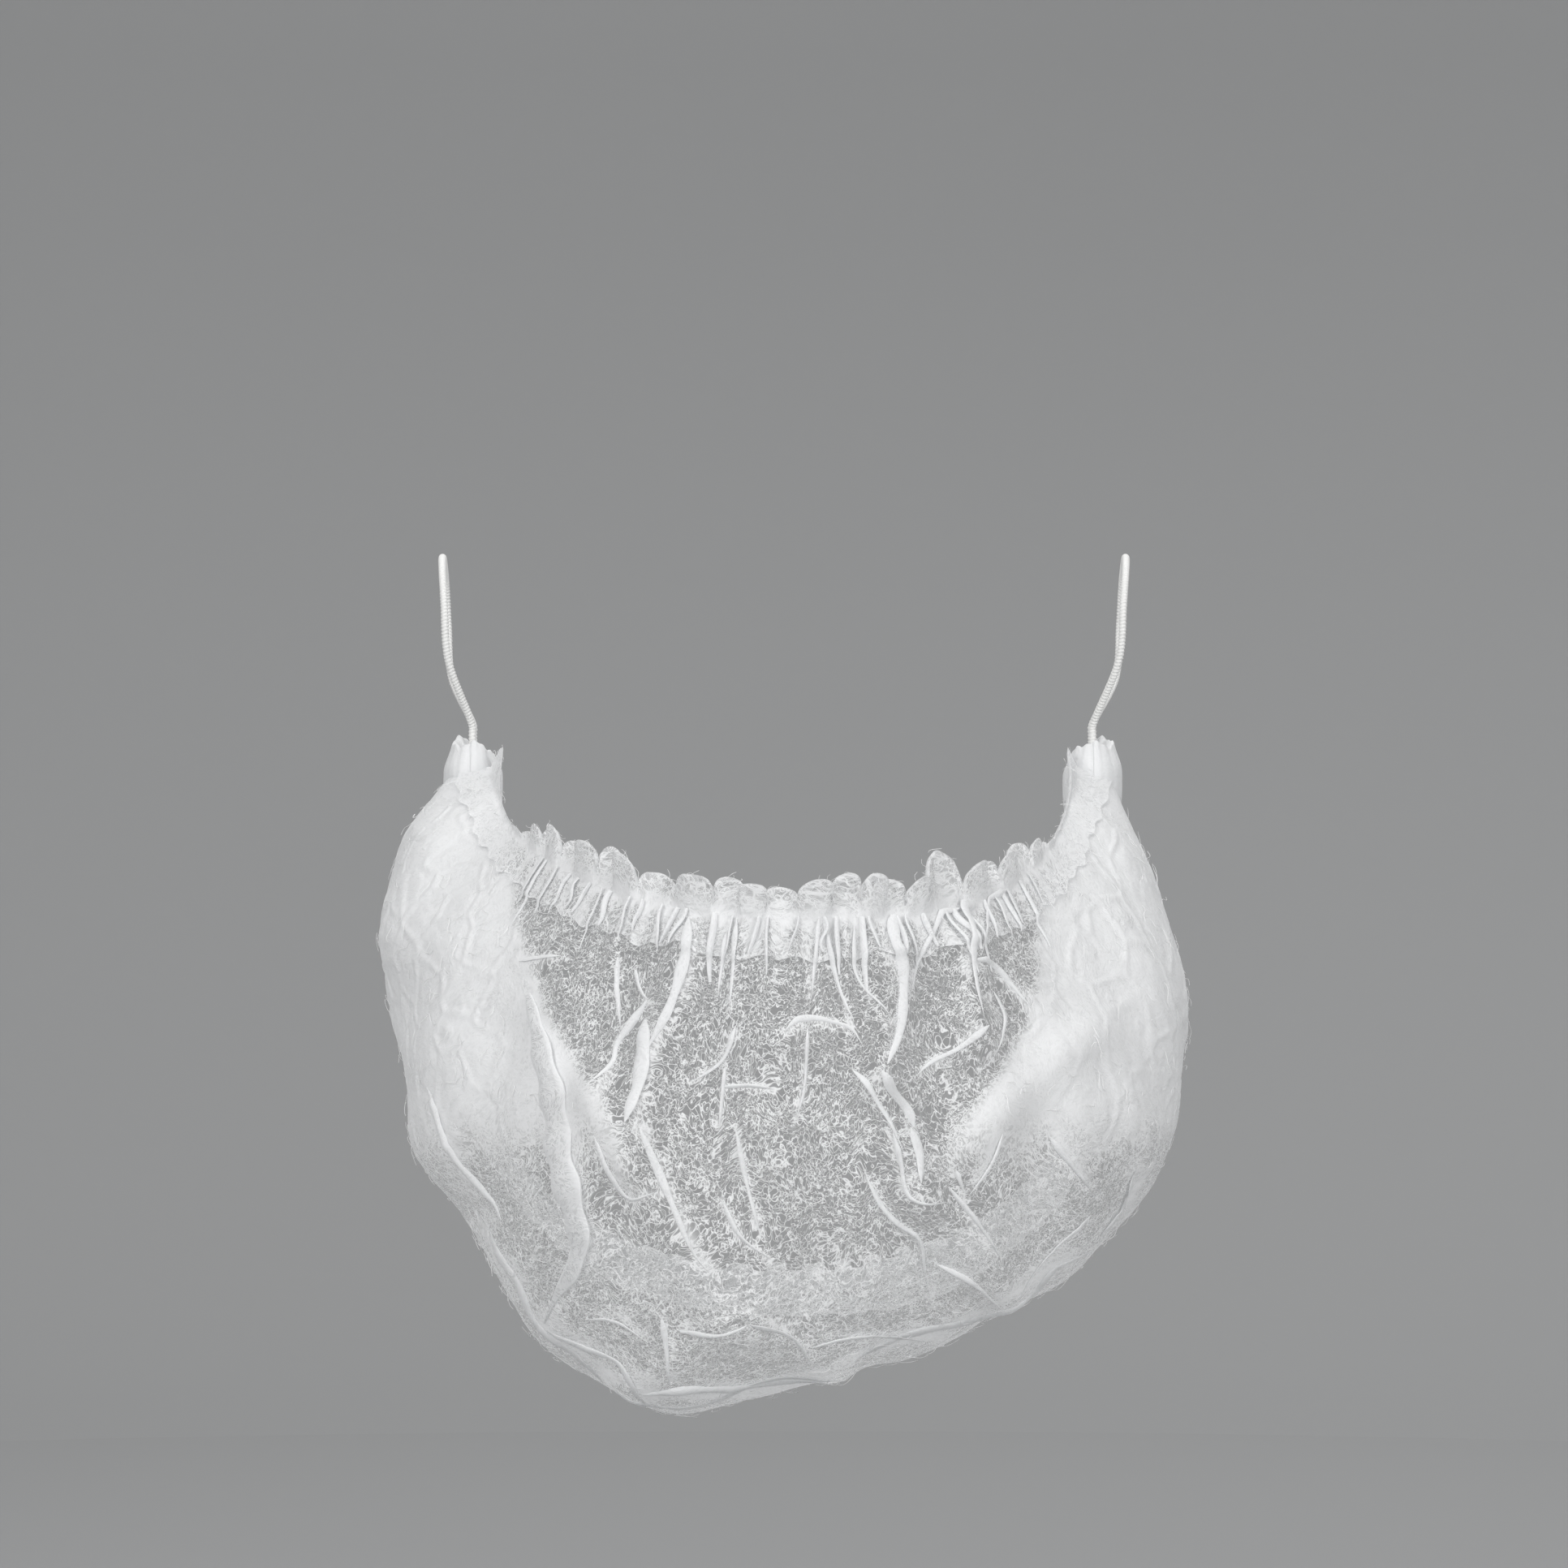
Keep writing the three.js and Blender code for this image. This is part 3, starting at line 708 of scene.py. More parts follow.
    def cover(self, points: Array, across: Array, down: Array) -> Array:
        """Give how closely the fibres lie, from where the cloth is stretched to where it is bunched, with
        painted shade beside the creases.

        Args:
            points: Points of the bag.
            across: Their places across.
            down: Their places down.

        Returns:
            Shares from least_cover to 1.
        """
        right, below = to_picture(points)
        inside, distance = in_contour(right, below, STRETCHED_CONTOUR)
        edge = fade(np.where(inside, -distance, distance), *self.contour_blend)
        side = fade(points[..., 2], *self.side_heights)
        outer = self.open_cover + (self.side_cover - self.open_cover) * side
        under = down > self.form.outline_share
        base = np.where(under, self.under_cover + 1.25 * side, outer * edge)
        drifts = 0.10 * rough_noise(points, 34.0, 41.0) + 0.10 * rough_noise(points, 85.0, 57.0)
        # The creases add cover on their lines and take it away beside them as painted shade.
        base = base + np.where(under, 0.0, drifts + crease_marks_and_shade(right, below)) * (1.0 - 0.7 * side * edge)
        roll = np.where(under, 0.0, self.rolled_rim(points, across))
        end = fade(np.abs(across), *self.end_closes)
        end = end + self.least_cover * fade(np.abs(across), *self.stretch_ends)
        return np.clip(np.maximum(base + roll, end), self.least_cover, 1.0)

    def rolled_rim(self, points: Array, across: Array) -> Array:
        """Give how much more closely the fibres lie in the rolled double layer along the lower rim.

        Args:
            points: Points of the bag.
            across: Their places across.

        Returns:
            What the roll adds to the cover.
        """
        from_rim = np.linalg.norm((points - self.form.outline_edge(across))[..., [0, 2]], axis=-1)
        band = fade(from_rim, *self.roll_band) * (0.75 + 0.25 * np.sin(across * 41.0))
        off_line = from_rim - self.roll_line - self.roll_line_sway * np.sin(across * 23.0)
        inner_line = np.exp(-((off_line / self.roll_line_width) ** 2))
        line = inner_line + np.exp(-((from_rim / self.rim_width) ** 2))
        return self.roll_cover * band + self.line_cover * line


# A crease's mark on the cloth: its greatest width in pixels, what it adds on the crease, what it takes away
# beside it as painted shade, and, as shares of the crease's width, how wide both are and how far away the
# second one lies
WIDEST_MARK = 14.0
MARK_GAIN = 0.52
MARK_SPREAD = 0.75
BESIDE_PAINTED_SHADE = 0.20
BESIDE_AT = 2.3
BESIDE_SPREAD = 1.1
MARK_LIMITS = (-0.30, 0.52)


def crease_marks_and_shade(right: Array, below: Array) -> Array:
    """Give how much more closely the fibres lie on a crease, and a painted shade beside it, where less cover
    makes the cloth look darker.

    Args:
        right: Pixels from the picture's left side.
        below: Pixels from its top.

    Returns:
        What the creases add to the cover, with the painted shade beside them taken away from it.
    """
    place = np.stack([right, below], axis=-1)
    marks = np.zeros(right.shape)
    for crease in CREASES:
        distance = np.full(right.shape, np.inf)
        corners = np.array(crease.path, float)
        for start, end in zip(corners[:-1], corners[1:]):
            distance = np.minimum(distance, distance_to_run(place, start, end))
        width = min(crease.width, WIDEST_MARK)
        marks += MARK_GAIN * np.exp(-((distance / (MARK_SPREAD * width)) ** 2))
        # Painted shade: a band of lowered cover beside each crease stands in for the shadow of the fold.
        beside = (distance - BESIDE_AT * width) / (BESIDE_SPREAD * width)
        marks -= BESIDE_PAINTED_SHADE * np.exp(-(beside ** 2))
    return np.clip(marks, *MARK_LIMITS)


def in_contour(right: Array, below: Array, contour: Sequence[tuple[float, float]]) -> tuple[Array, Array]:
    """Tell which places lie in a closed contour, and how far they are from it.

    Args:
        right: Pixels from the picture's left side.
        below: Pixels from its top.
        contour: The contour's corners.

    Returns:
        Whether each place is inside, and its distance from the contour in pixels.
    """
    corners = np.array(contour, float)
    inside = np.zeros(right.shape, bool)
    distance = np.full(right.shape, np.inf)
    place = np.stack([right, below], axis=-1)
    for start, end in zip(corners, np.roll(corners, -1, axis=0)):
        distance = np.minimum(distance, distance_to_run(place, start, end))
        crosses = (start[1] > below) != (end[1] > below)
        slope = (end[0] - start[0]) / (end[1] - start[1] + 1e-9)
        inside ^= crosses & (right < start[0] + slope * (below - start[1]))
    return inside, distance


# Meshes


@dataclass
class MeshParts:
    """Vertices, faces and the layers that the finishes read, gathered before a mesh is made."""

    points: list[Array] = field(default_factory=list)
    quads: list[Array] = field(default_factory=list)
    uvs: list[Array] = field(default_factory=list)
    covers: list[Array] = field(default_factory=list)
    count: int = 0

    def add_grid(self, points: Array, uv: Array, cover: Array, closed: bool = False,
                 flip: bool = False) -> None:
        """Add a grid of quads.

        Args:
            points: Points of shape (columns, rows, 3).
            uv: Flat cloth places in metres, of shape (columns, rows, 2).
            cover: How closely the fibres lie, of shape (columns, rows).
            closed: Whether the last column joins the first.
            flip: Whether the faces point the other way.
        """
        columns, rows = points.shape[:2]
        column = np.arange(columns if closed else columns - 1)
        row = np.arange(rows - 1)
        here = (column[:, None] * rows + row).ravel()
        beside = (((column[:, None] + 1) % columns) * rows + row).ravel()
        quads = np.stack([here, here + 1, beside + 1, beside], axis=1)
        if flip:
            quads = quads[:, ::-1]
        self.quads.append(quads + self.count)
        self.points.append(points.reshape(-1, 3))
        self.uvs.append(uv.reshape(-1, 2))
        self.covers.append(cover.ravel())
        self.count += columns * rows

    def build(self, name: str) -> bpy.types.Object:
        """Make the mesh object.

        Args:
            name: The object's name.

        Returns:
            The object, at the origin, linked to the scene.
        """
        points, quads = np.concatenate(self.points), np.concatenate(self.quads)
        mesh = bpy.data.meshes.new(name)
        mesh.from_pydata(points.tolist(), [], quads.tolist())
        uvs = np.concatenate(self.uvs)
        corner_vertex = np.empty(len(mesh.loops), np.int32)
        mesh.loops.foreach_get("vertex_index", corner_vertex)
        layer = mesh.uv_layers.new(name=CLOTH_UV)
        layer.data.foreach_set("uv", uvs[corner_vertex].astype(np.float32).ravel())
        cover = mesh.attributes.new(COVER, "FLOAT", "POINT")
        cover.data.foreach_set("value", np.concatenate(self.covers).astype(np.float32))
        mesh.shade_smooth()
        mesh.update()
        made = bpy.data.objects.new(name, mesh)
        bpy.context.scene.collection.objects.link(made)
        return made


def flat_places(points: Array, shift: tuple[float, float]) -> Array:
    """Lay a grid of cloth flat, as lengths along its columns and rows.

    Args:
        points: Points of shape (columns, rows, 3).
        shift: Where the flat cloth starts, so that each piece has its own fibres.

    Returns:
        Flat places in metres, of shape (columns, rows, 2).
    """
    columns, rows = points.shape[:2]
    u = lengths_along(points[:, rows // 2])[:, None] * np.ones((1, rows))
    steps = np.linalg.norm(np.diff(points, axis=1), axis=2)
    v = np.concatenate([np.zeros((columns, 1)), np.cumsum(steps, axis=1)], axis=1)
    return np.stack([u + shift[0], v + shift[1]], axis=-1)


def sheet_area(points: Array) -> float:
    """Give the area of a grid of cloth in square metres."""
    across = points[1:, :-1] - points[:-1, :-1]
    down = points[:-1, 1:] - points[:-1, :-1]
    return float(np.linalg.norm(np.cross(across, down), axis=-1).sum())


# Node trees


class Graph:
    """A node tree, with short calls for the nodes that the finishes and the shapes are made of."""

    def __init__(self, tree: bpy.types.NodeTree) -> None:
        """Keep the tree.

        Args:
            tree: A shader or geometry node tree.
        """
        self.tree = tree

    def add(self, kind: str, feeds: dict[Union[int, str], Feed] | None = None,
            **settings: object) -> bpy.types.Node:
        """Add a node.

        Args:
            kind: The node's type.
            feeds: What goes into its sockets: a number, a vector or another node's socket.
            settings: The node's own settings.

        Returns:
            The node.
        """
        node = self.tree.nodes.new(kind)
        for name, value in settings.items():
            setattr(node, name, value)
        for key, value in (feeds or {}).items():
            self.feed(node.inputs[key], value)
        return node

    def feed(self, socket: bpy.types.NodeSocket, value: Feed) -> None:
        """Put a value or a link into a socket.

        Args:
            socket: The socket.
            value: A number, a vector or another node's socket.
        """
        if isinstance(value, bpy.types.NodeSocket):
            self.tree.links.new(value, socket)
        else:
            socket.default_value = value

    def math(self, operation: str, *values: Feed, clamp: bool = False) -> bpy.types.NodeSocket:
        """Add a Math node and give its result."""
        feeds = dict(enumerate(values))
        return self.add("ShaderNodeMath", feeds, operation=operation, use_clamp=clamp).outputs[0]

    def vector(self, operation: str, *values: Feed) -> bpy.types.NodeSocket:
        """Add a Vector Math node and give its vector."""
        return self.add("ShaderNodeVectorMath", dict(enumerate(values)), operation=operation).outputs[0]

    def scaled(self, vector: Feed, scale: Feed) -> bpy.types.NodeSocket:
        """Scale a vector by a number."""
        return self.add("ShaderNodeVectorMath", {0: vector, "Scale": scale}, operation="SCALE").outputs[0]

    def step(self, value: Feed, low: Feed, high: Feed, from_value: Feed = 0.0,
             to_value: Feed = 1.0) -> bpy.types.NodeSocket:
        """Add a smooth step of value between low and high.

        Args:
            value: What steps.
            low: Where the step starts.
            high: Where it ends.
            from_value: The result below low.
            to_value: The result above high.

        Returns:
            The result's socket.
        """
        feeds = {"Value": value, "From Min": low, "From Max": high, "To Min": from_value, "To Max": to_value}
        return self.add("ShaderNodeMapRange", feeds, interpolation_type="SMOOTHSTEP").outputs[0]

    def mix(self, share: Feed, first: Feed, second: Feed) -> bpy.types.NodeSocket:
        """Mix two colours.

        Args:
            share: The second colour's share.
            first: The first colour.
            second: The second colour.

        Returns:
            The mixed colour's socket.
        """
        node = self.add("ShaderNodeMix", data_type="RGBA")
        self.feed(node.inputs["Factor"], share)
        self.feed(node.inputs[6], first)
        self.feed(node.inputs[7], second)
        return node.outputs[2]

    def noise(self, place: Feed, scale: float, detail: float = 2.0, roughness: float = 0.5,
              distortion: float = 0.0) -> bpy.types.Node:
        """Add a noise texture.

        Args:
            place: Where the noise is read.
            scale: Waves per unit of place.
            detail: How many finer layers it has.
            roughness: How strong the finer layers are.
            distortion: How far it is swirled.

        Returns:
            The node.
        """
        return self.add("ShaderNodeTexNoise", {
            "Vector": place, "Scale": scale,
            "Detail": detail, "Roughness": roughness, "Distortion": distortion,
        })

    def bump(self, height: Feed, strength: float, distance: float) -> bpy.types.NodeSocket:
        """Add a bump and give its normal."""
        feeds = {"Strength": strength, "Distance": distance, "Height": height}
        return self.add("ShaderNodeBump", feeds).outputs[0]

    def close_shape(self, out: bpy.types.Node, geometry: Feed, finish: Feed) -> None:
        """Realize a shape's instances, dress it and end the tree.

        Args:
            out: The tree's output node.
            geometry: The shape.
            finish: Its finish.
        """
        real = self.add("GeometryNodeRealizeInstances", {"Geometry": geometry})
        feeds = {"Geometry": real.outputs[0], "Material": finish}
        self.feed(out.inputs[0], self.add("GeometryNodeSetMaterial", feeds).outputs[0])


def new_material(name: str) -> tuple[bpy.types.Material, Graph]:
    """Start a material with an empty node tree.

    Args:
        name: The material's name.

    Returns:
        The material and its graph.
    """
    material = bpy.data.materials.new(name)
    material.use_nodes = True
    material.node_tree.nodes.clear()
    return material, Graph(material.node_tree)


def shaded(tint: tuple[float, float, float], factor: float) -> tuple[float, ...]:
    """Give a lighter or darker tint with its alpha."""
    return tuple(min(1.0, part * factor) for part in tint) + (1.0,)


@dataclass(frozen=True)
class NonwovenFinish:
    """Spunbond cloth: a web of fine curled fibres, see-through between them."""

    name: str
    tint: tuple[float, float, float] = (0.90, 0.905, 0.91)
    roughness: float = 0.62
    sheen: float = 0.25
    glow: float = 0.32
    curl_scale: float = 430.0
    second_bend: float = -0.6
    strands: tuple[tuple[float, float, float, float], ...] = (
        (0.14, 0.0022, 2.6, 0.150),
        (-0.24, 0.0026, 3.2, 0.140),
        (0.55, 0.0030, 4.0, 0.110),
        (-0.80, 0.0034, 3.7, 0.100),
        (1.45, 0.0036, 4.4, 0.085),
    )
    swirl_scale: float = 90.0
    swirl_reach: float = 0.0085
    clump_scale: float = 170.0
    clump_strength: float = 0.75
    wrinkle_scale: float = 420.0
    mottle_scale: float = 45.0
    gloss_scale: float = 70.0
    least_cover: float = 0.0
    open_haze: float = 0.02
    close_haze: float = 0.95
    bump: float = 0.55
    bump_distance: float = 0.0003

    def web(self, graph: Graph, place: Feed, spread: Feed) -> bpy.types.NodeSocket:
        """Lay the families of curled strands over each other.

        Args:
            graph: The material's graph.
            place: Where on the flat cloth.
            spread: How closely the fibres lie.

        Returns:
            A socket that gives 1 on a strand and 0 between the strands.
        """
        curl = graph.noise(place, self.curl_scale, 1.0, 0.55).outputs["Color"]
        curls = list(graph.add("ShaderNodeSeparateXYZ", {0: curl}).outputs)
        plenty = graph.math("MULTIPLY_ADD", graph.math("MAXIMUM", spread, 0.0), 1.6, 0.95)
        plenty = graph.math("MULTIPLY_ADD", graph.math("MINIMUM", spread, 0.0), 0.9, plenty)
        web: bpy.types.NodeSocket | None = None
        for index, (angle, pitch, bend, thickness) in enumerate(self.strands):
            across = (math.sin(angle) / pitch, math.cos(angle) / pitch, 0.0)
            run = graph.add("ShaderNodeVectorMath", {0: place, 1: across}, operation="DOT_PRODUCT")
            bent = graph.math("MULTIPLY_ADD", curls[index % 3], bend, run.outputs["Value"])
            bent = graph.math("MULTIPLY_ADD", curls[(index + 1) % 3], bend * self.second_bend, bent)
            away = graph.math("PINGPONG", bent, 0.5)
            thin = graph.math("MULTIPLY_ADD", curls[(index + 2) % 3], 1.7, 0.10)
            width = graph.math("MULTIPLY", graph.math("MULTIPLY", plenty, thickness), thin)
            line = graph.step(away, 0.0, width, 1.0, 0.0)
            web = line if web is None else graph.math("MAXIMUM", web, line)
        return web

    def build(self) -> bpy.types.Material:
        """Make the material.

        Returns:
            The material.
        """
        material, graph = new_material(self.name)
        flat = graph.add("ShaderNodeUVMap", uv_map=CLOTH_UV).outputs[0]
        # The cover layer drives alpha and colour; on the pouch it also holds painted shade beside the
        # creases.
        layer = graph.add("ShaderNodeAttribute", attribute_name=COVER, attribute_type="GEOMETRY")
        cover_read = layer.outputs["Fac"]
        cover = graph.math("MAXIMUM", cover_read, self.least_cover)

        drift = graph.noise(flat, self.swirl_scale, 1.0, 0.6).outputs["Color"]
        swirl = graph.scaled(graph.vector("SUBTRACT", drift, (0.5, 0.5, 0.5)), self.swirl_reach)
        place = graph.vector("ADD", flat, swirl)
        clumps = graph.noise(place, self.clump_scale, 2.0, 0.6).outputs["Fac"]
        uneven = graph.math("MULTIPLY_ADD", clumps, 1.0, -0.5)
        spread = graph.math("ADD", cover, graph.math("MULTIPLY", uneven, self.clump_strength))
        web = self.web(graph, place, spread)
        haze = graph.step(spread, 0.0, 1.0, self.open_haze, self.close_haze)
        alpha = graph.math("MULTIPLY_ADD", web, graph.math("SUBTRACT", 1.0, haze), haze, clamp=True)

        mottled = graph.noise(flat, self.mottle_scale, 3.0, 0.6).outputs["Fac"]
        fine = graph.math("MULTIPLY", web, graph.step(cover, 0.45, 0.95, 1.0, 0.2))
        lively = graph.math("MULTIPLY_ADD", fine, 0.35, graph.math("MULTIPLY", mottled, 0.45))
        lively = graph.math("MULTIPLY_ADD", graph.step(cover_read, 0.6, 1.0), 0.35, lively, clamp=True)
        colour = graph.mix(lively, shaded(self.tint, 0.90), shaded(self.tint, 1.09))
        patches = graph.noise(flat, self.gloss_scale, 3.0, 0.65).outputs["Fac"]
        shine = graph.step(patches, 0.55, 0.68, 0.0, 1.0)
        rough = graph.math("MULTIPLY_ADD", graph.math("MULTIPLY", shine, cover), -0.3, self.roughness)

        wrinkles = graph.noise(place, self.wrinkle_scale, 2.0, 0.6, 1.2).outputs["Fac"]
        crinkled = graph.math("MULTIPLY_ADD", graph.math("MULTIPLY", shine, cover), 2.2,
                              graph.math("MULTIPLY_ADD", cover, 0.6, 0.3))
        relief = graph.math("MULTIPLY_ADD", fine, 0.5, graph.math("MULTIPLY", wrinkles, crinkled))
        normal = graph.bump(relief, self.bump, self.bump_distance)

        fibre = graph.add("ShaderNodeBsdfPrincipled", {
            "Base Color": colour, "Roughness": rough, "Normal": normal,
            "Sheen Weight": self.sheen, "Sheen Roughness": 0.4, "Specular IOR Level": 0.35,
        })
        through = graph.add("ShaderNodeBsdfTranslucent", {"Color": colour, "Normal": normal})
        cloth = graph.add("ShaderNodeMixShader", {0: self.glow, 1: fibre.outputs[0], 2: through.outputs[0]})
        gap = graph.add("ShaderNodeBsdfTransparent")
        shown = graph.add("ShaderNodeMixShader", {0: alpha, 1: gap.outputs[0], 2: cloth.outputs[0]})
        graph.add("ShaderNodeOutputMaterial", {0: shown.outputs[0]})
        return material


@dataclass(frozen=True)
class ElasticFinish:
    """Round knitted elastic: ribbed white yarn with a dull sheen."""

    name: str = "knitted_elastic_yarn"
    tint: tuple[float, float, float] = (0.83, 0.83, 0.815)
    roughness: float = 0.8
    yarn_scale: float = 5200.0
    wear_scale: float = 320.0

    def build(self) -> bpy.types.Material:
        """Make the material.

        Returns:
            The material.
        """
        material, graph = new_material(self.name)
        place = graph.add("ShaderNodeTexCoord").outputs["Object"]
        yarn = graph.noise(place, self.yarn_scale, 3.0, 0.7, 0.6).outputs["Fac"]
        worn = graph.noise(place, self.wear_scale, 3.0, 0.6).outputs["Fac"]
        lively = graph.math("MULTIPLY_ADD", yarn, 0.6, graph.math("MULTIPLY", worn, 0.4))
        colour = graph.mix(lively, shaded(self.tint, 0.84), shaded(self.tint, 1.06))
        rough = graph.math("MULTIPLY_ADD", worn, 0.2, self.roughness - 0.1)
        normal = graph.bump(yarn, 0.5, 0.00008)
        shader = graph.add("ShaderNodeBsdfPrincipled", {
            "Base Color": colour, "Roughness": rough, "Normal": normal, "Sheen Weight": 0.35,
        })
        graph.add("ShaderNodeOutputMaterial", {0: shader.outputs[0]})
        return material


@dataclass(frozen=True)
class FibreFinish:
    """A single fibre: white and slightly glossy, with a light unevenness."""

    name: str = "loose_fibre"
    tint: tuple[float, float, float] = (0.93, 0.93, 0.935)
    roughness: float = 0.5
    uneven_scale: float = 900.0

    def build(self) -> bpy.types.Material:
        """Make the material.

        Returns:
            The material.
        """
        material, graph = new_material(self.name)
        place = graph.add("ShaderNodeTexCoord").outputs["Object"]
        uneven = graph.noise(place, self.uneven_scale, 2.0, 0.5).outputs["Fac"]
        colour = graph.mix(uneven, shaded(self.tint, 0.92), shaded(self.tint, 1.0))
        normal = graph.bump(uneven, 0.2, 0.00003)
        rough = graph.math("MULTIPLY_ADD", uneven, 0.2, self.roughness - 0.1)
        shader = graph.add("ShaderNodeBsdfPrincipled", {
            "Base Color": colour, "Roughness": rough, "Normal": normal, "Sheen Weight": 0.3,
        })
        graph.add("ShaderNodeOutputMaterial", {0: shader.outputs[0]})
        return material


@dataclass(frozen=True)
class StudioFinish:
    """Plain matt paint of the floor and its curved wall."""

    name: str = "pale_studio"
    tint: tuple[float, float, float] = (0.355, 0.358, 0.361)
    roughness: float = 0.95
    gloss: float = 0.1

    def build(self) -> bpy.types.Material:
        """Make the material.

        Returns:
            The material.
        """
        material = bpy.data.materials.new(self.name)
        material.use_nodes = True
        shader = material.node_tree.nodes["Principled BSDF"]
        shader.inputs["Base Color"].default_value = self.tint + (1.0,)
        shader.inputs["Roughness"].default_value = self.roughness
        shader.inputs["Specular IOR Level"].default_value = self.gloss
        return material


def run_nodes(piece: bpy.types.Object, tree: bpy.types.NodeTree,
              values: dict[str, object]) -> bpy.types.Object:
    """Run a geometry node tree on a piece and keep the result as a plain mesh.

    Args:
        piece: The object that the tree starts from.
        tree: The tree.
        values: Values of its named inputs.

    Returns:
        A new object that holds the result; the piece it came from is gone.
    """
    modifier = piece.modifiers.new("shape", "NODES")
    modifier.node_group = tree
    for item in tree.interface.items_tree:
        if item.item_type == "SOCKET" and item.in_out == "INPUT" and item.name in values:
            modifier[item.identifier] = values[item.name]
    bpy.context.view_layer.update()
    graph = bpy.context.evaluated_depsgraph_get()
    mesh = bpy.data.meshes.new_from_object(piece.evaluated_get(graph), depsgraph=graph)
    name, old = piece.name, piece.data
    bpy.data.objects.remove(piece)
    (bpy.data.curves if isinstance(old, bpy.types.Curve) else bpy.data.meshes).remove(old)
    mesh.name = name
    made = bpy.data.objects.new(name, mesh)
    bpy.context.scene.collection.objects.link(made)
    return made


def new_tree(name: str,
             inputs: dict[str, tuple[str, object]]) -> tuple[Graph, bpy.types.Node, bpy.types.Node]:
    """Start a geometry node tree with named inputs.

    Args:
        name: The tree's name.
        inputs: Socket type and first value of each input, by its name.

    Returns:
        The graph, its input node and its output node.
    """
    tree = bpy.data.node_groups.new(name, "GeometryNodeTree")
    tree.interface.new_socket("Geometry", in_out="INPUT", socket_type="NodeSocketGeometry")
    tree.interface.new_socket("Geometry", in_out="OUTPUT", socket_type="NodeSocketGeometry")
    for label, (kind, value) in inputs.items():
        socket = tree.interface.new_socket(label, in_out="INPUT", socket_type=kind)
        if value is not None:
            socket.default_value = value
    graph = Graph(tree)
    return graph, graph.add("NodeGroupInput"), graph.add("NodeGroupOutput")


# The net's pieces


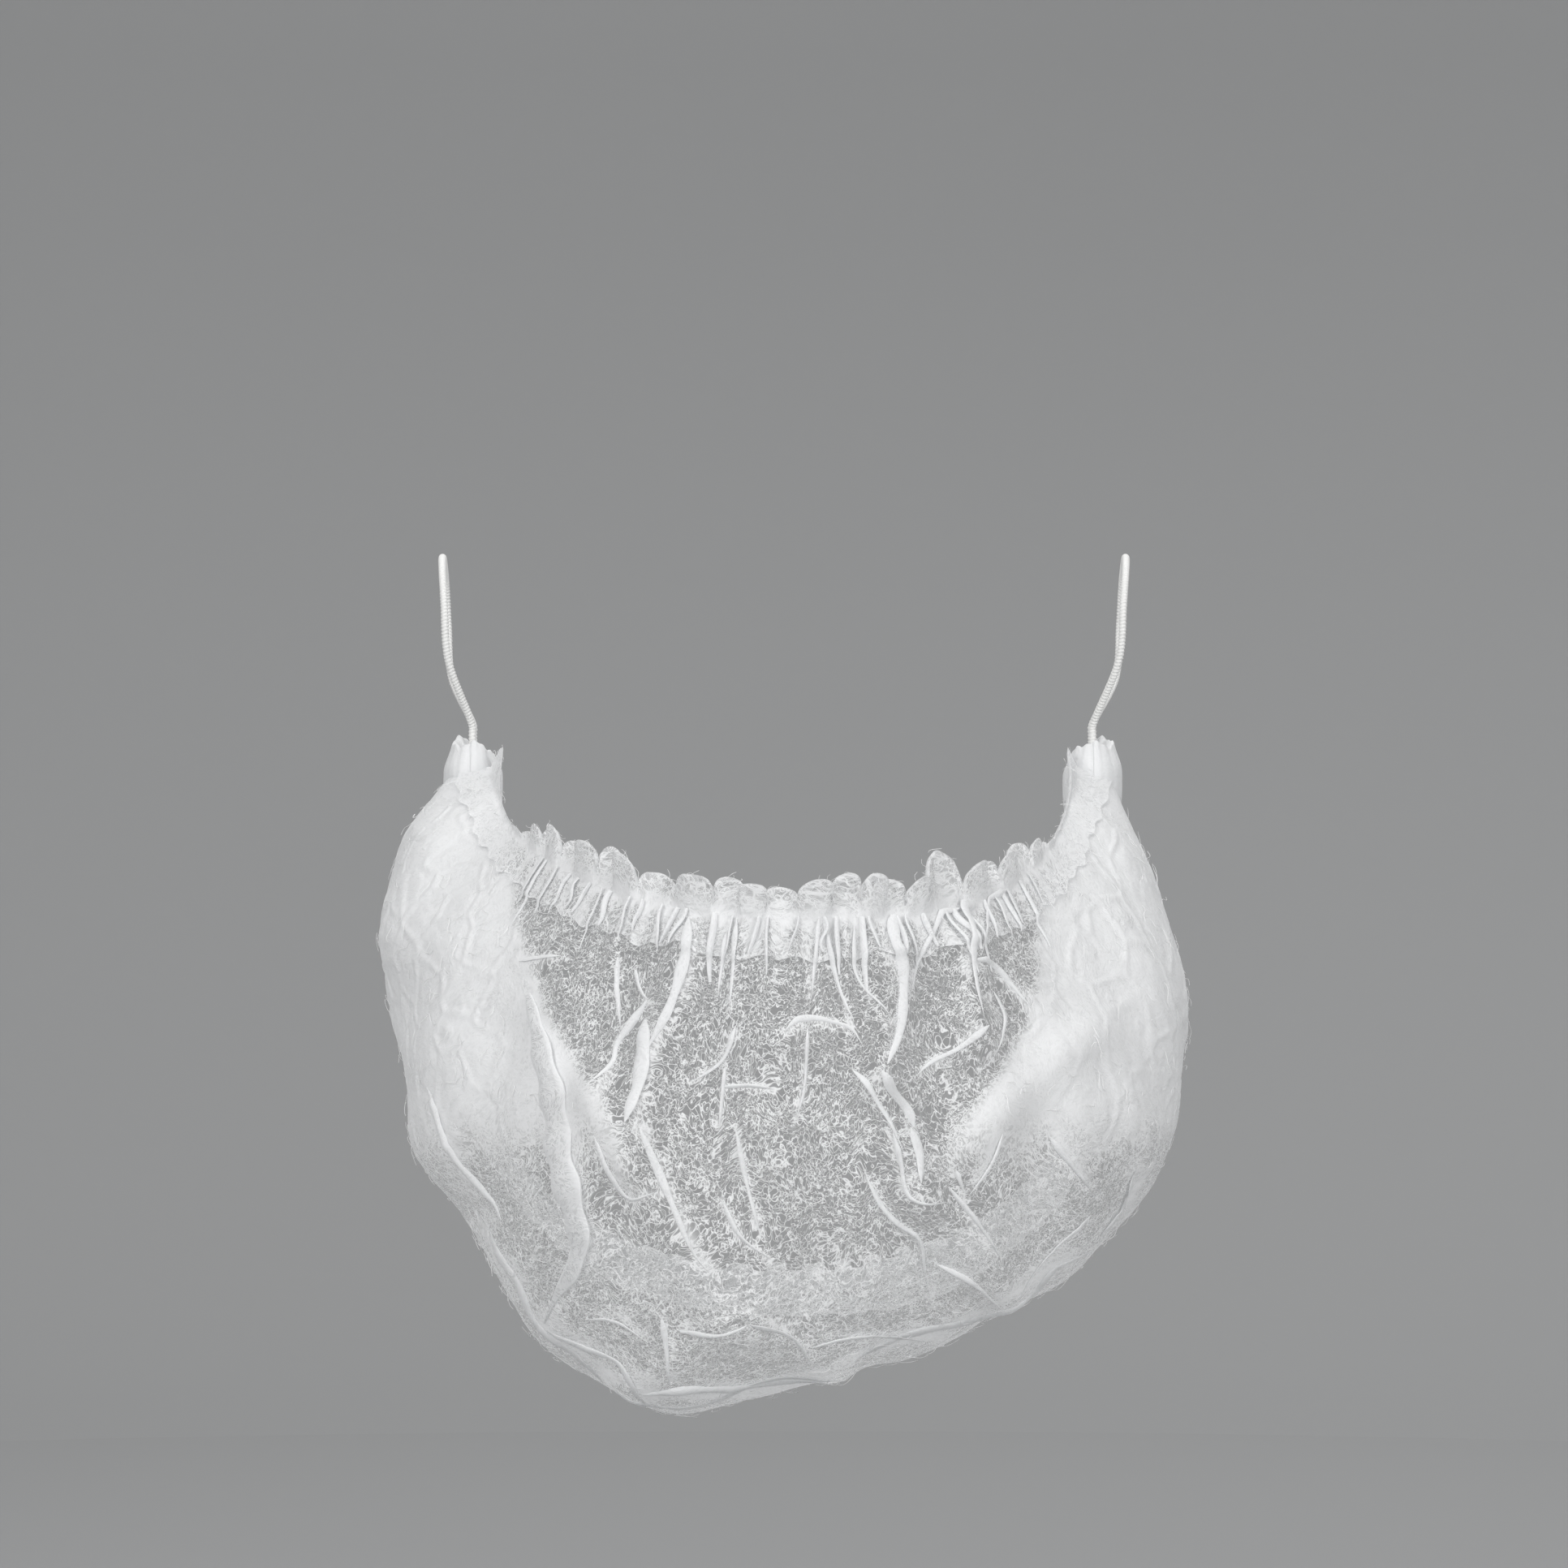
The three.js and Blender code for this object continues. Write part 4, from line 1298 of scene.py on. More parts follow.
@dataclass
class Pouch:
    """The bag itself: one nonwoven sheet, gathered at both edges, with its laid creases."""

    cloth: Cloth
    finish: bpy.types.Material
    columns: int = 470
    chest_rows: int = 146
    under_rows: int = 62
    flat_width: float = 0.40
    flat_length: float = 0.17
    pleat_seed: int = 7
    hem_pleats: int = 34
    pleats_reach: float = 0.6
    front_reach: tuple[float, float] = (0.97, 0.695)
    search_rounds: int = 5
    pixels_to_a_step: float = 4.5
    flap_cover: float = 0.88
    wide_flap_loss: float = 0.30
    wide_flap: tuple[float, float] = (0.0028, 0.0090)
    flap_edge: float = 0.44
    pleat_runs: tuple[float, ...] = (0.85, 1.0, 1.3, 1.7)
    pleat_widths: tuple[float, float] = (0.0004, 0.0013)
    pleat_step: float = 0.0007

    def surface(self, across: Array, down: Array, crumpled: bool = True) -> tuple[Array, Array, Array]:
        """Give the cloth's points.

        Args:
            across: Places across.
            down: Places down.
            crumpled: Whether the small creases are in.

        Returns:
            Points, directions outwards, and how near a small crease is.
        """
        form = self.cloth.form
        smooth = form.smooth(across, down)
        outward = form.outward(across, down)
        height = self.cloth.relief(across, down, smooth)
        near = np.zeros(height.shape)
        if crumpled:
            small, near = self.cloth.crumple(smooth)
            calm = fade(down, 0.0, 0.1) * fade(down, 1.0, 0.93) * fade(np.abs(across), 0.99, 0.85)
            calm = calm * (0.7 + 1.1 * fade(np.abs(across), 0.3, 0.6))
            height = height + (small - 0.5 * self.cloth.crumple_height) * calm
            near = near * calm
        return smooth + outward * height[..., None], outward, near

    def places(self) -> tuple[Array, Array]:
        """Space the sheet's grid over the bag.

        Returns:
            Places across and down, as two grids.
        """
        length = self.cloth.edge_length[-1]
        across = self.cloth.across_at(np.linspace(0.0, length, self.columns + 1))
        share = self.cloth.form.outline_share
        down = np.concatenate([
            np.linspace(0.0, share, self.chest_rows, endpoint=False),
            np.linspace(share, 1.0, self.under_rows + 1),
        ])
        return np.meshgrid(across, down, indexing="ij")

    def build(self) -> bpy.types.Object:
        """Make the sheet.

        Returns:
            The pouch's object.
        """
        across, down = self.places()
        points, _, near = self.surface(across, down)
        cover = self.cloth.cover(points, across, down)
        cover = np.clip(cover + 0.16 * near * (1.0 - cover), self.cloth.least_cover, 1.0)
        parts = MeshParts()
        parts.add_grid(points, flat_places(points, (0.0, 0.0)), cover)
        made = parts.build("pouch_sheet")
        made.data.materials.append(self.finish)
        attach(made, "root")
        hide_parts("pouch")
        LOG.info("pouch_sheet: area %.4f m2", sheet_area(points))
        return made

    def on_bag(self, right: Array, below: Array) -> tuple[Array, Array]:
        """Find the places on the bag's front that show at places of the picture.

        Args:
            right: Pixels from the picture's left side.
            below: Pixels from its top.

        Returns:
            Places across and down.
        """
        form = self.cloth.form
        last_across, last_down = self.front_reach
        sideways, downwards = np.linspace(-last_across, last_across, 160), np.linspace(0.0, last_down, 90)
        across_grid, down_grid = np.meshgrid(sideways, downwards, indexing="ij")
        grid_right, grid_below = to_picture(form.smooth(across_grid, down_grid))
        miss_right = grid_right.ravel()[None] - right[:, None]
        miss_below = grid_below.ravel()[None] - below[:, None]
        nearest = (miss_right ** 2 + miss_below ** 2).argmin(axis=1)
        across, down = across_grid.ravel()[nearest], down_grid.ravel()[nearest]
        for _ in range(self.search_rounds):
            here = np.stack(to_picture(form.smooth(across, down)))
            by_across = (np.stack(to_picture(form.smooth(across + SLOPE_STEP, down))) - here) / SLOPE_STEP
            by_down = (np.stack(to_picture(form.smooth(across, down + SLOPE_STEP))) - here) / SLOPE_STEP
            miss = np.stack([right, below]) - here
            whole = by_across[0] * by_down[1] - by_across[1] * by_down[0]
            whole = np.where(np.abs(whole) < 1e-3, 1e-3, whole)
            across = across + (miss[0] * by_down[1] - miss[1] * by_down[0]) / whole
            down = down + (by_across[0] * miss[1] - by_across[1] * miss[0]) / whole
            across, down = np.clip(across, -last_across, last_across), np.clip(down, 0.0, last_down)
        return across, down

    def fall_speed(self, across: Array) -> Array:
        """Give the cloth's length to a share of down at the upper edge."""
        return np.linalg.norm(self.cloth.form.fall(across), axis=-1)

    def add_flap(self, parts: MeshParts, across: Array, down: Array, widths: Array, lift: float,
                 number: int) -> None:
        """Lay one flap, a pinch of cloth folded over to one side, along a path on the bag.

        Args:
            parts: Where the flap is added.
            across: The path's places across.
            down: The path's places down.
            widths: The flap's width along the path in metres.
            lift: Height of the free edge over the cloth.
            number: The flap's number, which picks its fibres and the side that it lies to.
        """
        base, outward, _ = self.surface(across, down)
        along = unit(np.gradient(base, axis=0))
        beside = unit(np.cross(outward, along)) * (1.0 if number % 2 else -1.0)
        section = np.array(FLAP_SECTION)
        taper = np.clip(widths / max(float(widths.max()), 1e-6), 0.0, 1.0)
        over_hem = 0.00012 + 0.0008 * fade(down * self.fall_speed(across), self.cloth.hem_width + 0.0012,
                                           self.cloth.hem_width - 0.0002)
        sideways = section[None, :, :1] * widths[:, None, None]
        upwards = section[None, :, 1:] * lift * taper[:, None, None] + over_hem[:, None, None]
        points = base[:, None] + beside[:, None] * sideways + outward[:, None] * upwards
        edge = np.abs(section[:, 0]) > self.flap_edge
        body = self.flap_cover - self.wide_flap_loss * float(fade(float(widths.max()), *self.wide_flap))
        cover = np.broadcast_to(np.where(edge, 1.0, body), points.shape[:2]).copy()
        uv = flat_places(points, (0.9 + 0.13 * (number % 9), 0.31 * (number % 13)))
        parts.add_grid(points, uv, cover, flip=bool(number % 2))

    def creases(self) -> bpy.types.Object:
        """Lay the narrow folds on the cloth.

        Returns:
            One object with all the flaps.
        """
        parts = MeshParts()
        number = 0
        for crease in CREASES:
            path = np.array(crease.path, float)
            length = lengths_along(path)[-1]
            count = max(6, int(length / self.pixels_to_a_step))
            line = smooth_path(path, count)
            across, down = self.on_bag(line[:, 0], line[:, 1])
            share = np.linspace(0.0, 1.0, count)
            pixels = crease.width + (crease.end_width - crease.width) * share
            ends = np.minimum(1.0, np.minimum(share / crease.root, (1.0 - share) / 0.2) + 0.06) ** 0.8
            wobble = 1.0 + 0.14 * np.sin(share * length * 0.11 + number)
            self.add_flap(parts, across, down, pixels * ends * wobble * PIXEL * 0.93, crease.lift, number)
            number += 1
        number = self.add_pleats(parts, number)
        made = parts.build("laid_creases")
        made.data.materials.append(self.finish)
        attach(made, "root")
        LOG.info("laid_creases: %d flaps", number)
        return made

    def add_pleats(self, parts: MeshParts, number: int) -> int:
        """Lay the short pleats that the hem's elastic gathers.

        Args:
            parts: Where the pleats are added.
            number: The first pleat's number.

        Returns:
            The number after the last pleat's.
        """
        draw = np.random.default_rng(self.pleat_seed)
        first, last = self.cloth.length_at(np.array([-self.pleats_reach, self.pleats_reach]))
        for pleat in range(self.hem_pleats):
            start = first + (last - first) * (pleat + draw.uniform(0.05, 0.95)) / self.hem_pleats
            run = self.cloth.hem_width * draw.choice(self.pleat_runs) * draw.uniform(0.95, 1.1)
            count = max(8, int(run / self.pleat_step))
            share = np.linspace(0.0, 1.0, count)
            sway = draw.normal(0.0, 0.0011) * share ** 1.5 + draw.normal(0.0, 0.0003) * np.sin(share * 6.0)
            across = self.cloth.across_at(start + sway)
            down = share * run / self.fall_speed(across)
            swelling = 0.35 + 0.65 * np.sin(math.pi * (0.25 + 0.72 * share))
            widths = draw.uniform(*self.pleat_widths) * swelling
            lift = 0.0003 + 0.0005 * float(fade(abs(float(across[0])), 0.6, 0.3))
            self.add_flap(parts, across, down, widths, lift, number)
            number += 1
        return number


@dataclass
class Ruffle:
    """Flutes of a gathered edge, shaped by geometry nodes from a plain strip."""

    depth: float = 0.0021
    overlap: float = 0.0013

    def tree(self) -> bpy.types.NodeTree:
        """Build the tree that turns a strip into flutes.

        Returns:
            The tree.
        """
        graph, given, out = new_tree("gathered_flutes", {
            "Flute Depth": ("NodeSocketFloat", self.depth),
            "Overlap": ("NodeSocketFloat", self.overlap),
            "Finish": ("NodeSocketMaterial", None),
        })

        def read(name: str, kind: str) -> bpy.types.NodeSocket:
            """Read one of the strip's layers."""
            return graph.add("GeometryNodeInputNamedAttribute", {"Name": name}, data_type=kind).outputs[0]

        phase, rise = read("phase", "FLOAT"), read("rise", "FLOAT")
        normal, along = read("out", "FLOAT_VECTOR"), read("along", "FLOAT_VECTOR")
        depth = graph.math("MULTIPLY", rise, given.outputs["Flute Depth"])
        swing = graph.math("MULTIPLY", graph.math("SINE", phase), depth)
        twice = graph.math("SINE", graph.math("MULTIPLY", phase, 2.0))
        back = graph.math("MULTIPLY", given.outputs["Overlap"], -1.0)
        lap = graph.math("MULTIPLY", twice, graph.math("MULTIPLY", rise, back))
        shift = graph.vector("ADD", graph.scaled(normal, swing), graph.scaled(along, lap))
        moved = graph.add("GeometryNodeSetPosition", {"Geometry": given.outputs["Geometry"], "Offset": shift})
        graph.close_shape(out, moved.outputs[0], given.outputs["Finish"])
        return graph.tree

    def flute(self, made: bpy.types.Object, material: bpy.types.Material,
              layers: dict[str, Array]) -> bpy.types.Object:
        """Flute a strip.

        Args:
            made: The plain strip.
            material: Its finish.
            layers: phase and rise, one number to a vertex, and out and along, one direction to a vertex.

        Returns:
            The fluted strip.
        """
        for name, values in layers.items():
            kind = "FLOAT" if values.ndim == 1 else "FLOAT_VECTOR"
            layer = made.data.attributes.new(name, kind, "POINT")
            part = "value" if kind == "FLOAT" else "vector"
            layer.data.foreach_set(part, values.astype(np.float32).ravel())
        values = {"Flute Depth": self.depth, "Overlap": self.overlap, "Finish": material}
        fluted = run_nodes(made, self.tree(), values)
        fluted.data.shade_smooth()
        return fluted


@dataclass
class LooseFibres:
    """Fine curled hairs that stand off the cloth, strewn by geometry nodes."""

    name: str
    slot: Slot
    finish: bpy.types.Material
    density: float
    shortest: float = 0.0022
    longest: float = 0.0052
    thickness: float = 0.013
    stand: float = 0.35
    seed: int = 11

    def tree(self) -> bpy.types.NodeTree:
        """Build the tree that strews hairs over a host sheet.

        Returns:
            The tree.
        """
        graph, given, out = new_tree("strewn_hairs", {
            "Density": ("NodeSocketFloat", self.density),
            "Shortest": ("NodeSocketFloat", self.shortest),
            "Longest": ("NodeSocketFloat", self.longest),
            "Thickness": ("NodeSocketFloat", self.thickness),
            "Stand": ("NodeSocketFloat", self.stand),
            "Seed": ("NodeSocketInt", self.seed),
            "Finish": ("NodeSocketMaterial", None),
        })
        seed, stand = given.outputs["Seed"], given.outputs["Stand"]
        strewn = graph.add("GeometryNodeDistributePointsOnFaces", {
            "Mesh": given.outputs["Geometry"], "Density": given.outputs["Density"], "Seed": seed,
        }, distribute_method="RANDOM")
        bend = graph.add("GeometryNodeCurvePrimitiveBezierSegment", {
            "Resolution": 6, "Start": (-0.5, 0.0, 0.0), "Start Handle": (-0.2, 0.42, 0.10),
            "End Handle": (0.15, -0.40, 0.22), "End": (0.5, 0.08, 0.12),
        })
        ring = graph.add("GeometryNodeCurvePrimitiveCircle", {
            "Resolution": 3, "Radius": given.outputs["Thickness"],
        })
        hair = graph.add("GeometryNodeCurveToMesh", {
            "Curve": bend.outputs[0], "Profile Curve": ring.outputs[0],
        })
        tilt = graph.add("ShaderNodeCombineXYZ", {0: stand, 1: stand, 2: math.pi})
        away = graph.scaled(tilt.outputs[0], -1.0)
        turn = graph.add("FunctionNodeRandomValue", {
            0: away, 1: tilt.outputs[0], "Seed": seed,
        }, data_type="FLOAT_VECTOR").outputs[0]
        turned = graph.add("FunctionNodeRotateRotation", {
            "Rotation": strewn.outputs["Rotation"], "Rotate By": turn,
        }, rotation_space="LOCAL").outputs[0]
        size = graph.add("FunctionNodeRandomValue", {
            2: given.outputs["Shortest"], 3: given.outputs["Longest"], "Seed": seed,
        }, data_type="FLOAT").outputs[1]
        placed = graph.add("GeometryNodeInstanceOnPoints", {
            "Points": strewn.outputs["Points"], "Instance": hair.outputs[0], "Rotation": turned,
            "Scale": size,
        })
        graph.close_shape(out, placed.outputs[0], given.outputs["Finish"])
        return graph.tree

    def build(self, host: bpy.types.Object) -> bpy.types.Object:
        """Strew the hairs.

        Args:
            host: The sheet that they stand on.

        Returns:
            One object with all the hairs.
        """
        mesh = host.data.copy()
        piece = bpy.data.objects.new(self.name, mesh)
        bpy.context.scene.collection.objects.link(piece)
        made = run_nodes(piece, self.tree(), {
            "Density": self.density, "Shortest": self.shortest, "Longest": self.longest,
            "Thickness": self.thickness, "Stand": self.stand, "Seed": self.seed, "Finish": self.finish,
        })
        made.data.shade_smooth()
        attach(made, "root")
        LOG.info("%s: %d triangles", made.name, sum(len(face.vertices) - 2 for face in made.data.polygons))
        return made


@dataclass
class FrontHem:
    """The folded, gathered upper edge, with its standing ruffle."""

    cloth: Cloth
    pouch: Pouch
    finish: bpy.types.Material
    columns: int = 900
    band_rows: int = 10
    ruffle_rows: int = 11
    ruffle_height: float = 0.0074
    ruffle_pitch: float = 0.0130
    hem_end: float = 0.985
    lean: float = 0.35
    corner_lobe: float = 0.0052
    corner_at: float = 0.955
    corner_spread: float = 0.055
    tall_lobes: tuple[tuple[float, float, float], ...] = (
        (0.345, 0.045, 0.75), (0.50, 0.05, 0.35), (0.61, 0.05, 0.05),
    )
    lobe_cover: float = 0.26
    band_cover: float = 0.24
    gather_rows: tuple[float, float] = (2.0, 5.5)
    gather_cover: float = 0.62
    brim_cover: float = 0.6
    panel_cover: float = 0.46
    steep_cover: float = 0.45
    top_share: float = 0.98
    corner_rises: tuple[float, float] = (0.84, 0.90)
    corner_upright: float = 1.6
    ends_fade: tuple[float, float] = (0.76, 0.54)
    pitch_sway: tuple[tuple[float, float, float], ...] = ((1.1, 83.0, 1.3), (0.55, 211.0, 0.0))
    ragged_top: tuple[tuple[float, float, float], ...] = ((0.015, 1700.0, 0.0), (0.03, 760.0, 1.0))

    def lobe_height(self, length: Array, across: Array, phase: Array) -> Array:
        """Give how far the ruffle stands over the elastic.

        Args:
            length: Lengths along the edge.
            across: Places across.
            phase: The flutes' phase.

        Returns:
            Heights in metres.
        """
        tall = 1.0 + sum(
            rise * np.exp(-(((across - at) / spread) ** 2)) for at, spread, rise in self.tall_lobes
        )
        arches = 0.30 + 0.66 * np.abs(np.sin(phase)) ** 0.62
        arches = arches * (1.0 + 0.14 * np.sin(length * 229.0 + 0.5) + 0.10 * np.sin(length * 97.0))
        shown = 0.06 + 0.94 * fade(np.abs(across), *self.ends_fade)
        height = self.ruffle_height * tall * (arches + waves(length, self.ragged_top)) * shown
        from_corner = (np.abs(across) - self.corner_at) / self.corner_spread
        return height + self.corner_lobe * np.exp(-(from_corner ** 2))

    def strip(self, length: Array, across: Array, height: Array) -> tuple[Array, Array, Array]:
        """Lay the strip's rows: up the band, up the ruffle's front and down behind it.

        Args:
            length: Lengths along the edge, one to a column.
            across: Places across.
            height: How far the ruffle stands there.

        Returns:
            Points of shape (columns, rows, 3), how far each swings with the flutes, of shape (columns, rows),
            and the way that each column swings.
        """
        fall = self.cloth.form.fall(across)
        reach = np.linalg.norm(fall, axis=-1)
        towards_end = fade(np.abs(across), *self.ends_fade)
        edge, outward, _ = self.pouch.surface(across, across * 0.0, crumpled=False)
        rising = fade(np.abs(across), *self.corner_rises)[:, None]
        upright = self.corner_upright * rising * np.array([0.0, 0.0, 1.0])
        up = unit(-unit(fall) + self.lean * outward + upright)
        swing_out = unit(outward - (outward * up).sum(axis=1, keepdims=True) * up)
        wave = 1.0 + 0.06 * np.sin(length * 900.0) + 0.05 * np.sin(length * 370.0 + 2.0)
        columns: list[Array] = []
        rises: list[Array] = []
        for row in range(self.band_rows):
            share = 1.0 - row / self.band_rows
            down = share * self.cloth.hem_width * wave / reach
            layer, normal, _ = self.pouch.surface(across, down, crumpled=False)
            columns.append(layer + normal * HEM_STANDOFF)
            rises.append(0.0 * length)
        for row in range(self.ruffle_rows + 1):
            share = row / self.ruffle_rows
            columns.append(edge + outward * (HEM_STANDOFF + 0.0003 * share) + up * (height * share)[:, None])
            rises.append((0.12 + 0.88 * share ** 0.8) * towards_end)
        for row in range(self.ruffle_rows + 1):
            share = 1.0 - row / self.ruffle_rows
            behind = 0.0004 + 0.0014 * math.sin(math.pi * share)
            columns.append(edge - outward * behind + up * (height * share * self.top_share)[:, None])
            rises.append((0.12 + 0.88 * share ** 0.8) * towards_end)
        return np.stack(columns, axis=1), np.stack(rises, axis=1), swing_out

    def strip_cover(self, length: Array, across: Array, phase: Array, rise: Array) -> Array:
        """Give how closely the fibres lie on the strip.

        Args:
            length: Lengths along the edge, one to a column.
            across: Places across.
            phase: The flutes' phase.
            rise: How far each point swings with the flutes.

        Returns:
            Shares of shape (columns, rows).
        """
        row = np.arange(rise.shape[1])
        reach_rows = np.where(row > self.band_rows, self.gather_rows[1], self.gather_rows[0])
        gathered = np.exp(-(((row - self.band_rows) / reach_rows) ** 2))
        brim = np.exp(-(((row - self.band_rows - self.ruffle_rows - 0.5) / 0.8) ** 2))
        pleats = fade(np.sin(length * 1150.0 + 1.6 * np.sin(length * 190.0)), -0.35, 0.45)
        pleats = pleats * (0.72 + 0.28 * np.sin(length * 317.0 + 0.9))
        flattened = np.where(row < self.band_rows, self.panel_cover, 0.0)[None] * pleats[:, None]
        steep = np.exp(-((np.sin(phase) / 0.22) ** 2))[:, None] * (rise > 0.2)
        lobes = np.where(row > self.band_rows, self.lobe_cover, self.band_cover)[None]
        cover = lobes + self.gather_cover * gathered[None] + self.brim_cover * brim[None]
        cover = cover + flattened + self.steep_cover * steep
        cover[:, 0] = 0.42 + 0.4 * pleats
        cover = np.maximum(cover, fade(np.abs(across), 0.55, 0.75)[:, None] * 0.8)
        return np.clip(cover, 0.0, 1.0)

    def build(self) -> bpy.types.Object:
        """Make the hem: the outer layer up the band, over the ruffle's top and down behind it.

        Returns:
            The hem's object.
        """
        ends = self.cloth.length_at(np.array([-self.hem_end, self.hem_end]))
        length = np.linspace(ends[0], ends[1], self.columns + 1)
        across = self.cloth.across_at(length)
        phase = 2 * math.pi * length / self.ruffle_pitch + waves(length, self.pitch_sway)
        points, rise, swing_out = self.strip(length, across, self.lobe_height(length, across, phase))
        along = unit(np.gradient(self.cloth.form.nose_edge(across), axis=0))
        cover = self.strip_cover(length, across, phase, rise)
        parts = MeshParts()
        parts.add_grid(points, flat_places(points, (0.07, 0.5)), cover, flip=True)
        strip = parts.build("nose_hem")
        rows = points.shape[1]
        layers = {
            "phase": np.repeat(phase, rows),
            "rise": rise.ravel(),
            "out": np.repeat(swing_out, rows, axis=0),
            "along": np.repeat(along, rows, axis=0),
        }
        made = Ruffle().flute(strip, self.finish, layers)
        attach(made, "root")
        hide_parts("front_hem")
        LOG.info("nose_hem: area %.4f m2", sheet_area(points))
        return made


@dataclass
class BackHem:
    """The gathered back edge, with its small frill."""

    cloth: Cloth
    pouch: Pouch
    finish: bpy.types.Material
    columns: int = 760
    band_rows: int = 9
    frill_rows: int = 6
    frill_height: float = 0.0034
    pitch: float = 0.0072
    pitch_sway: tuple[tuple[float, float, float], ...] = ((0.7, 173.0, 0.0), (0.4, 391.0, 0.0))
    hem_end: float = 0.95

    def build(self) -> bpy.types.Object:
        """Make the hem: the band, the frill past the elastic and the frill's return.

        Returns:
            The hem's object.
        """
        cloth, form = self.cloth, self.cloth.form
        dense = np.linspace(-self.hem_end, self.hem_end, EDGE_POINTS)
        lengths = lengths_along(form.throat_edge(dense))
        length = np.linspace(0.0, lengths[-1], self.columns + 1)
        across = np.interp(length, lengths, dense)
        fall = form.fall(across, at_throat=True)
        reach = np.linalg.norm(fall, axis=-1)
        towards_end = fade(np.abs(across), self.hem_end, 0.74)
        phase = 2 * math.pi * length / self.pitch + waves(length, self.pitch_sway)
        ragged = 0.75 + 0.22 * np.sin(phase) + 0.08 * np.sin(length * 1300.0)
        height = self.frill_height * ragged * (0.15 + 0.85 * towards_end)
        along = unit(np.gradient(form.throat_edge(across), axis=0))
        edge, outward, _ = self.pouch.surface(across, across * 0 + 1.0, crumpled=False)
        beyond = unit(unit(fall) + 0.2 * outward)
        columns: list[Array] = []
        rises: list[Array] = []
        for row in range(self.band_rows):
            share = 1.0 - row / self.band_rows
            down = 1.0 - share * cloth.throat_hem_width / reach
            layer, normal, _ = self.pouch.surface(across, down, crumpled=False)
            columns.append(layer + normal * HEM_STANDOFF)
            rises.append(0.0 * length)
        for row in range(self.frill_rows + 1):
            share = row / self.frill_rows
            columns.append(edge + outward * HEM_STANDOFF + beyond * (height * share)[:, None])
            rises.append((0.15 + 0.6 * share) * towards_end)
        for row in range(self.frill_rows + 1):
            share = 1.0 - row / self.frill_rows
            behind = 0.0003 + 0.0006 * math.sin(math.pi * share)
            columns.append(edge - outward * behind + beyond * (height * share)[:, None])
            rises.append((0.15 + 0.6 * share) * towards_end)
        points = np.stack(columns, axis=1)
        rows = points.shape[1]
        gathered = np.exp(-((np.arange(rows) - self.band_rows) / 1.4) ** 2)
        cover = 0.35 + 0.45 * gathered[None] * np.ones((len(length), 1))
        cover[:, 0] = 0.75
        cover = np.maximum(cover, fade(np.abs(across), 0.55, 0.75)[:, None] * 0.8)
        parts = MeshParts()
        parts.add_grid(points, flat_places(points, (0.11, 0.9)), np.clip(cover, 0.0, 1.0))
        strip = parts.build("throat_hem")
        layers = {
            "phase": np.repeat(phase, rows),
            "rise": np.stack(rises, axis=1).ravel(),
            "out": np.repeat(outward, rows, axis=0),
            "along": np.repeat(along, rows, axis=0),
        }
        made = Ruffle().flute(strip, self.finish, layers)
        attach(made, "root")
        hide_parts("back_hem")
        LOG.info("throat_hem: area %.4f m2", sheet_area(points))
        return made


@dataclass
class CornerGather:
    """One end of the bag, bunched and bonded round the ends of its ear loop."""

    cloth: Cloth
    side: Side
    finish: bpy.types.Material
    half_x: float = 0.0062
    half_y: float = 0.0092
    height: float = 0.0050
    depth: float = 0.011
    dip: float = 0.0022
    slope: float = 0.0014
    outer_share: float = 0.62
    turn_in: float = 0.88
    tuck: float = 0.0026
    around: int = 180
    rows: int = 44

    def build(self) -> bpy.types.Object:
        """Make the bunch: its pleated skirt, two lobes and the cloth that turns in round the elastic.

        Returns:
            The corner's object.
        """
        centre = self.cloth.form.end_centre(self.side)
        angle = np.linspace(0.0, 2 * math.pi, self.around, endpoint=False)
        share = np.linspace(0.0, 1.0, self.rows)
        angle, share = np.meshgrid(angle, share, indexing="ij")
        outer = np.clip(share / self.outer_share, 0.0, 1.0)
        inner = np.clip((share - self.outer_share) / (1.0 - self.outer_share), 0.0, 1.0)
        pleats = 0.014 * np.sin(5 * angle + 1.1 * np.sin(2 * angle) + 0.6 * self.side.value)
        pleats = pleats + 0.005 * np.sin(13 * angle + 2.0 * np.sin(angle))
        pleats = pleats + 0.003 * np.sin(29 * angle + 3.0 * share)
        lobe = 0.5 * (np.cos(2 * angle + 0.9 * self.side.value) - 1.0) * self.dip
        lobe = lobe + 0.0004 * np.sin(5 * angle + 0.7) + 0.0002 * np.sin(13 * angle)
        lobe = lobe + self.slope * np.sin(angle) * np.sign(centre[0])
        swell = 0.80 + 0.20 * np.sin(math.pi * (0.25 + 0.55 * outer)) - 0.20 * fade(outer, 0.6, 1.0)
        radius = swell * (1.0 + pleats * (0.45 + 0.55 * outer)) * (1.0 - self.turn_in * inner ** 0.8)
        rim = math.pi * inner
        level = -self.depth + (self.depth + self.height) * outer
        level = level - self.tuck * (1.0 - np.cos(rim)) * (inner > 0)
        level = level + lobe * outer ** 3 * (1.0 - 0.6 * inner)
        points = np.stack([
            centre[0] + self.half_x * radius * np.sin(angle),
            centre[1] - self.half_y * radius * np.cos(angle),
            centre[2] + level,
        ], axis=-1)
        cover = 1.9 * fade(outer, 0.0, 0.38) - 0.6 + 0.06 * np.sin(9 * angle + 1.0)
        parts = MeshParts()
        uv = flat_places(points, (0.6 + 0.1 * self.side.value, 1.3))
        parts.add_grid(points, uv, np.clip(cover, -0.6, 1.0), closed=True)
        word = self.side.name.lower()
        made = parts.build(f"bunched_end_{word}")
        made.data.materials.append(self.finish)
        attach(made, "root")
        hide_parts(f"corner_gather_{word}")
        LOG.info("%s: area %.5f m2", made.name, sheet_area(points))
        return made


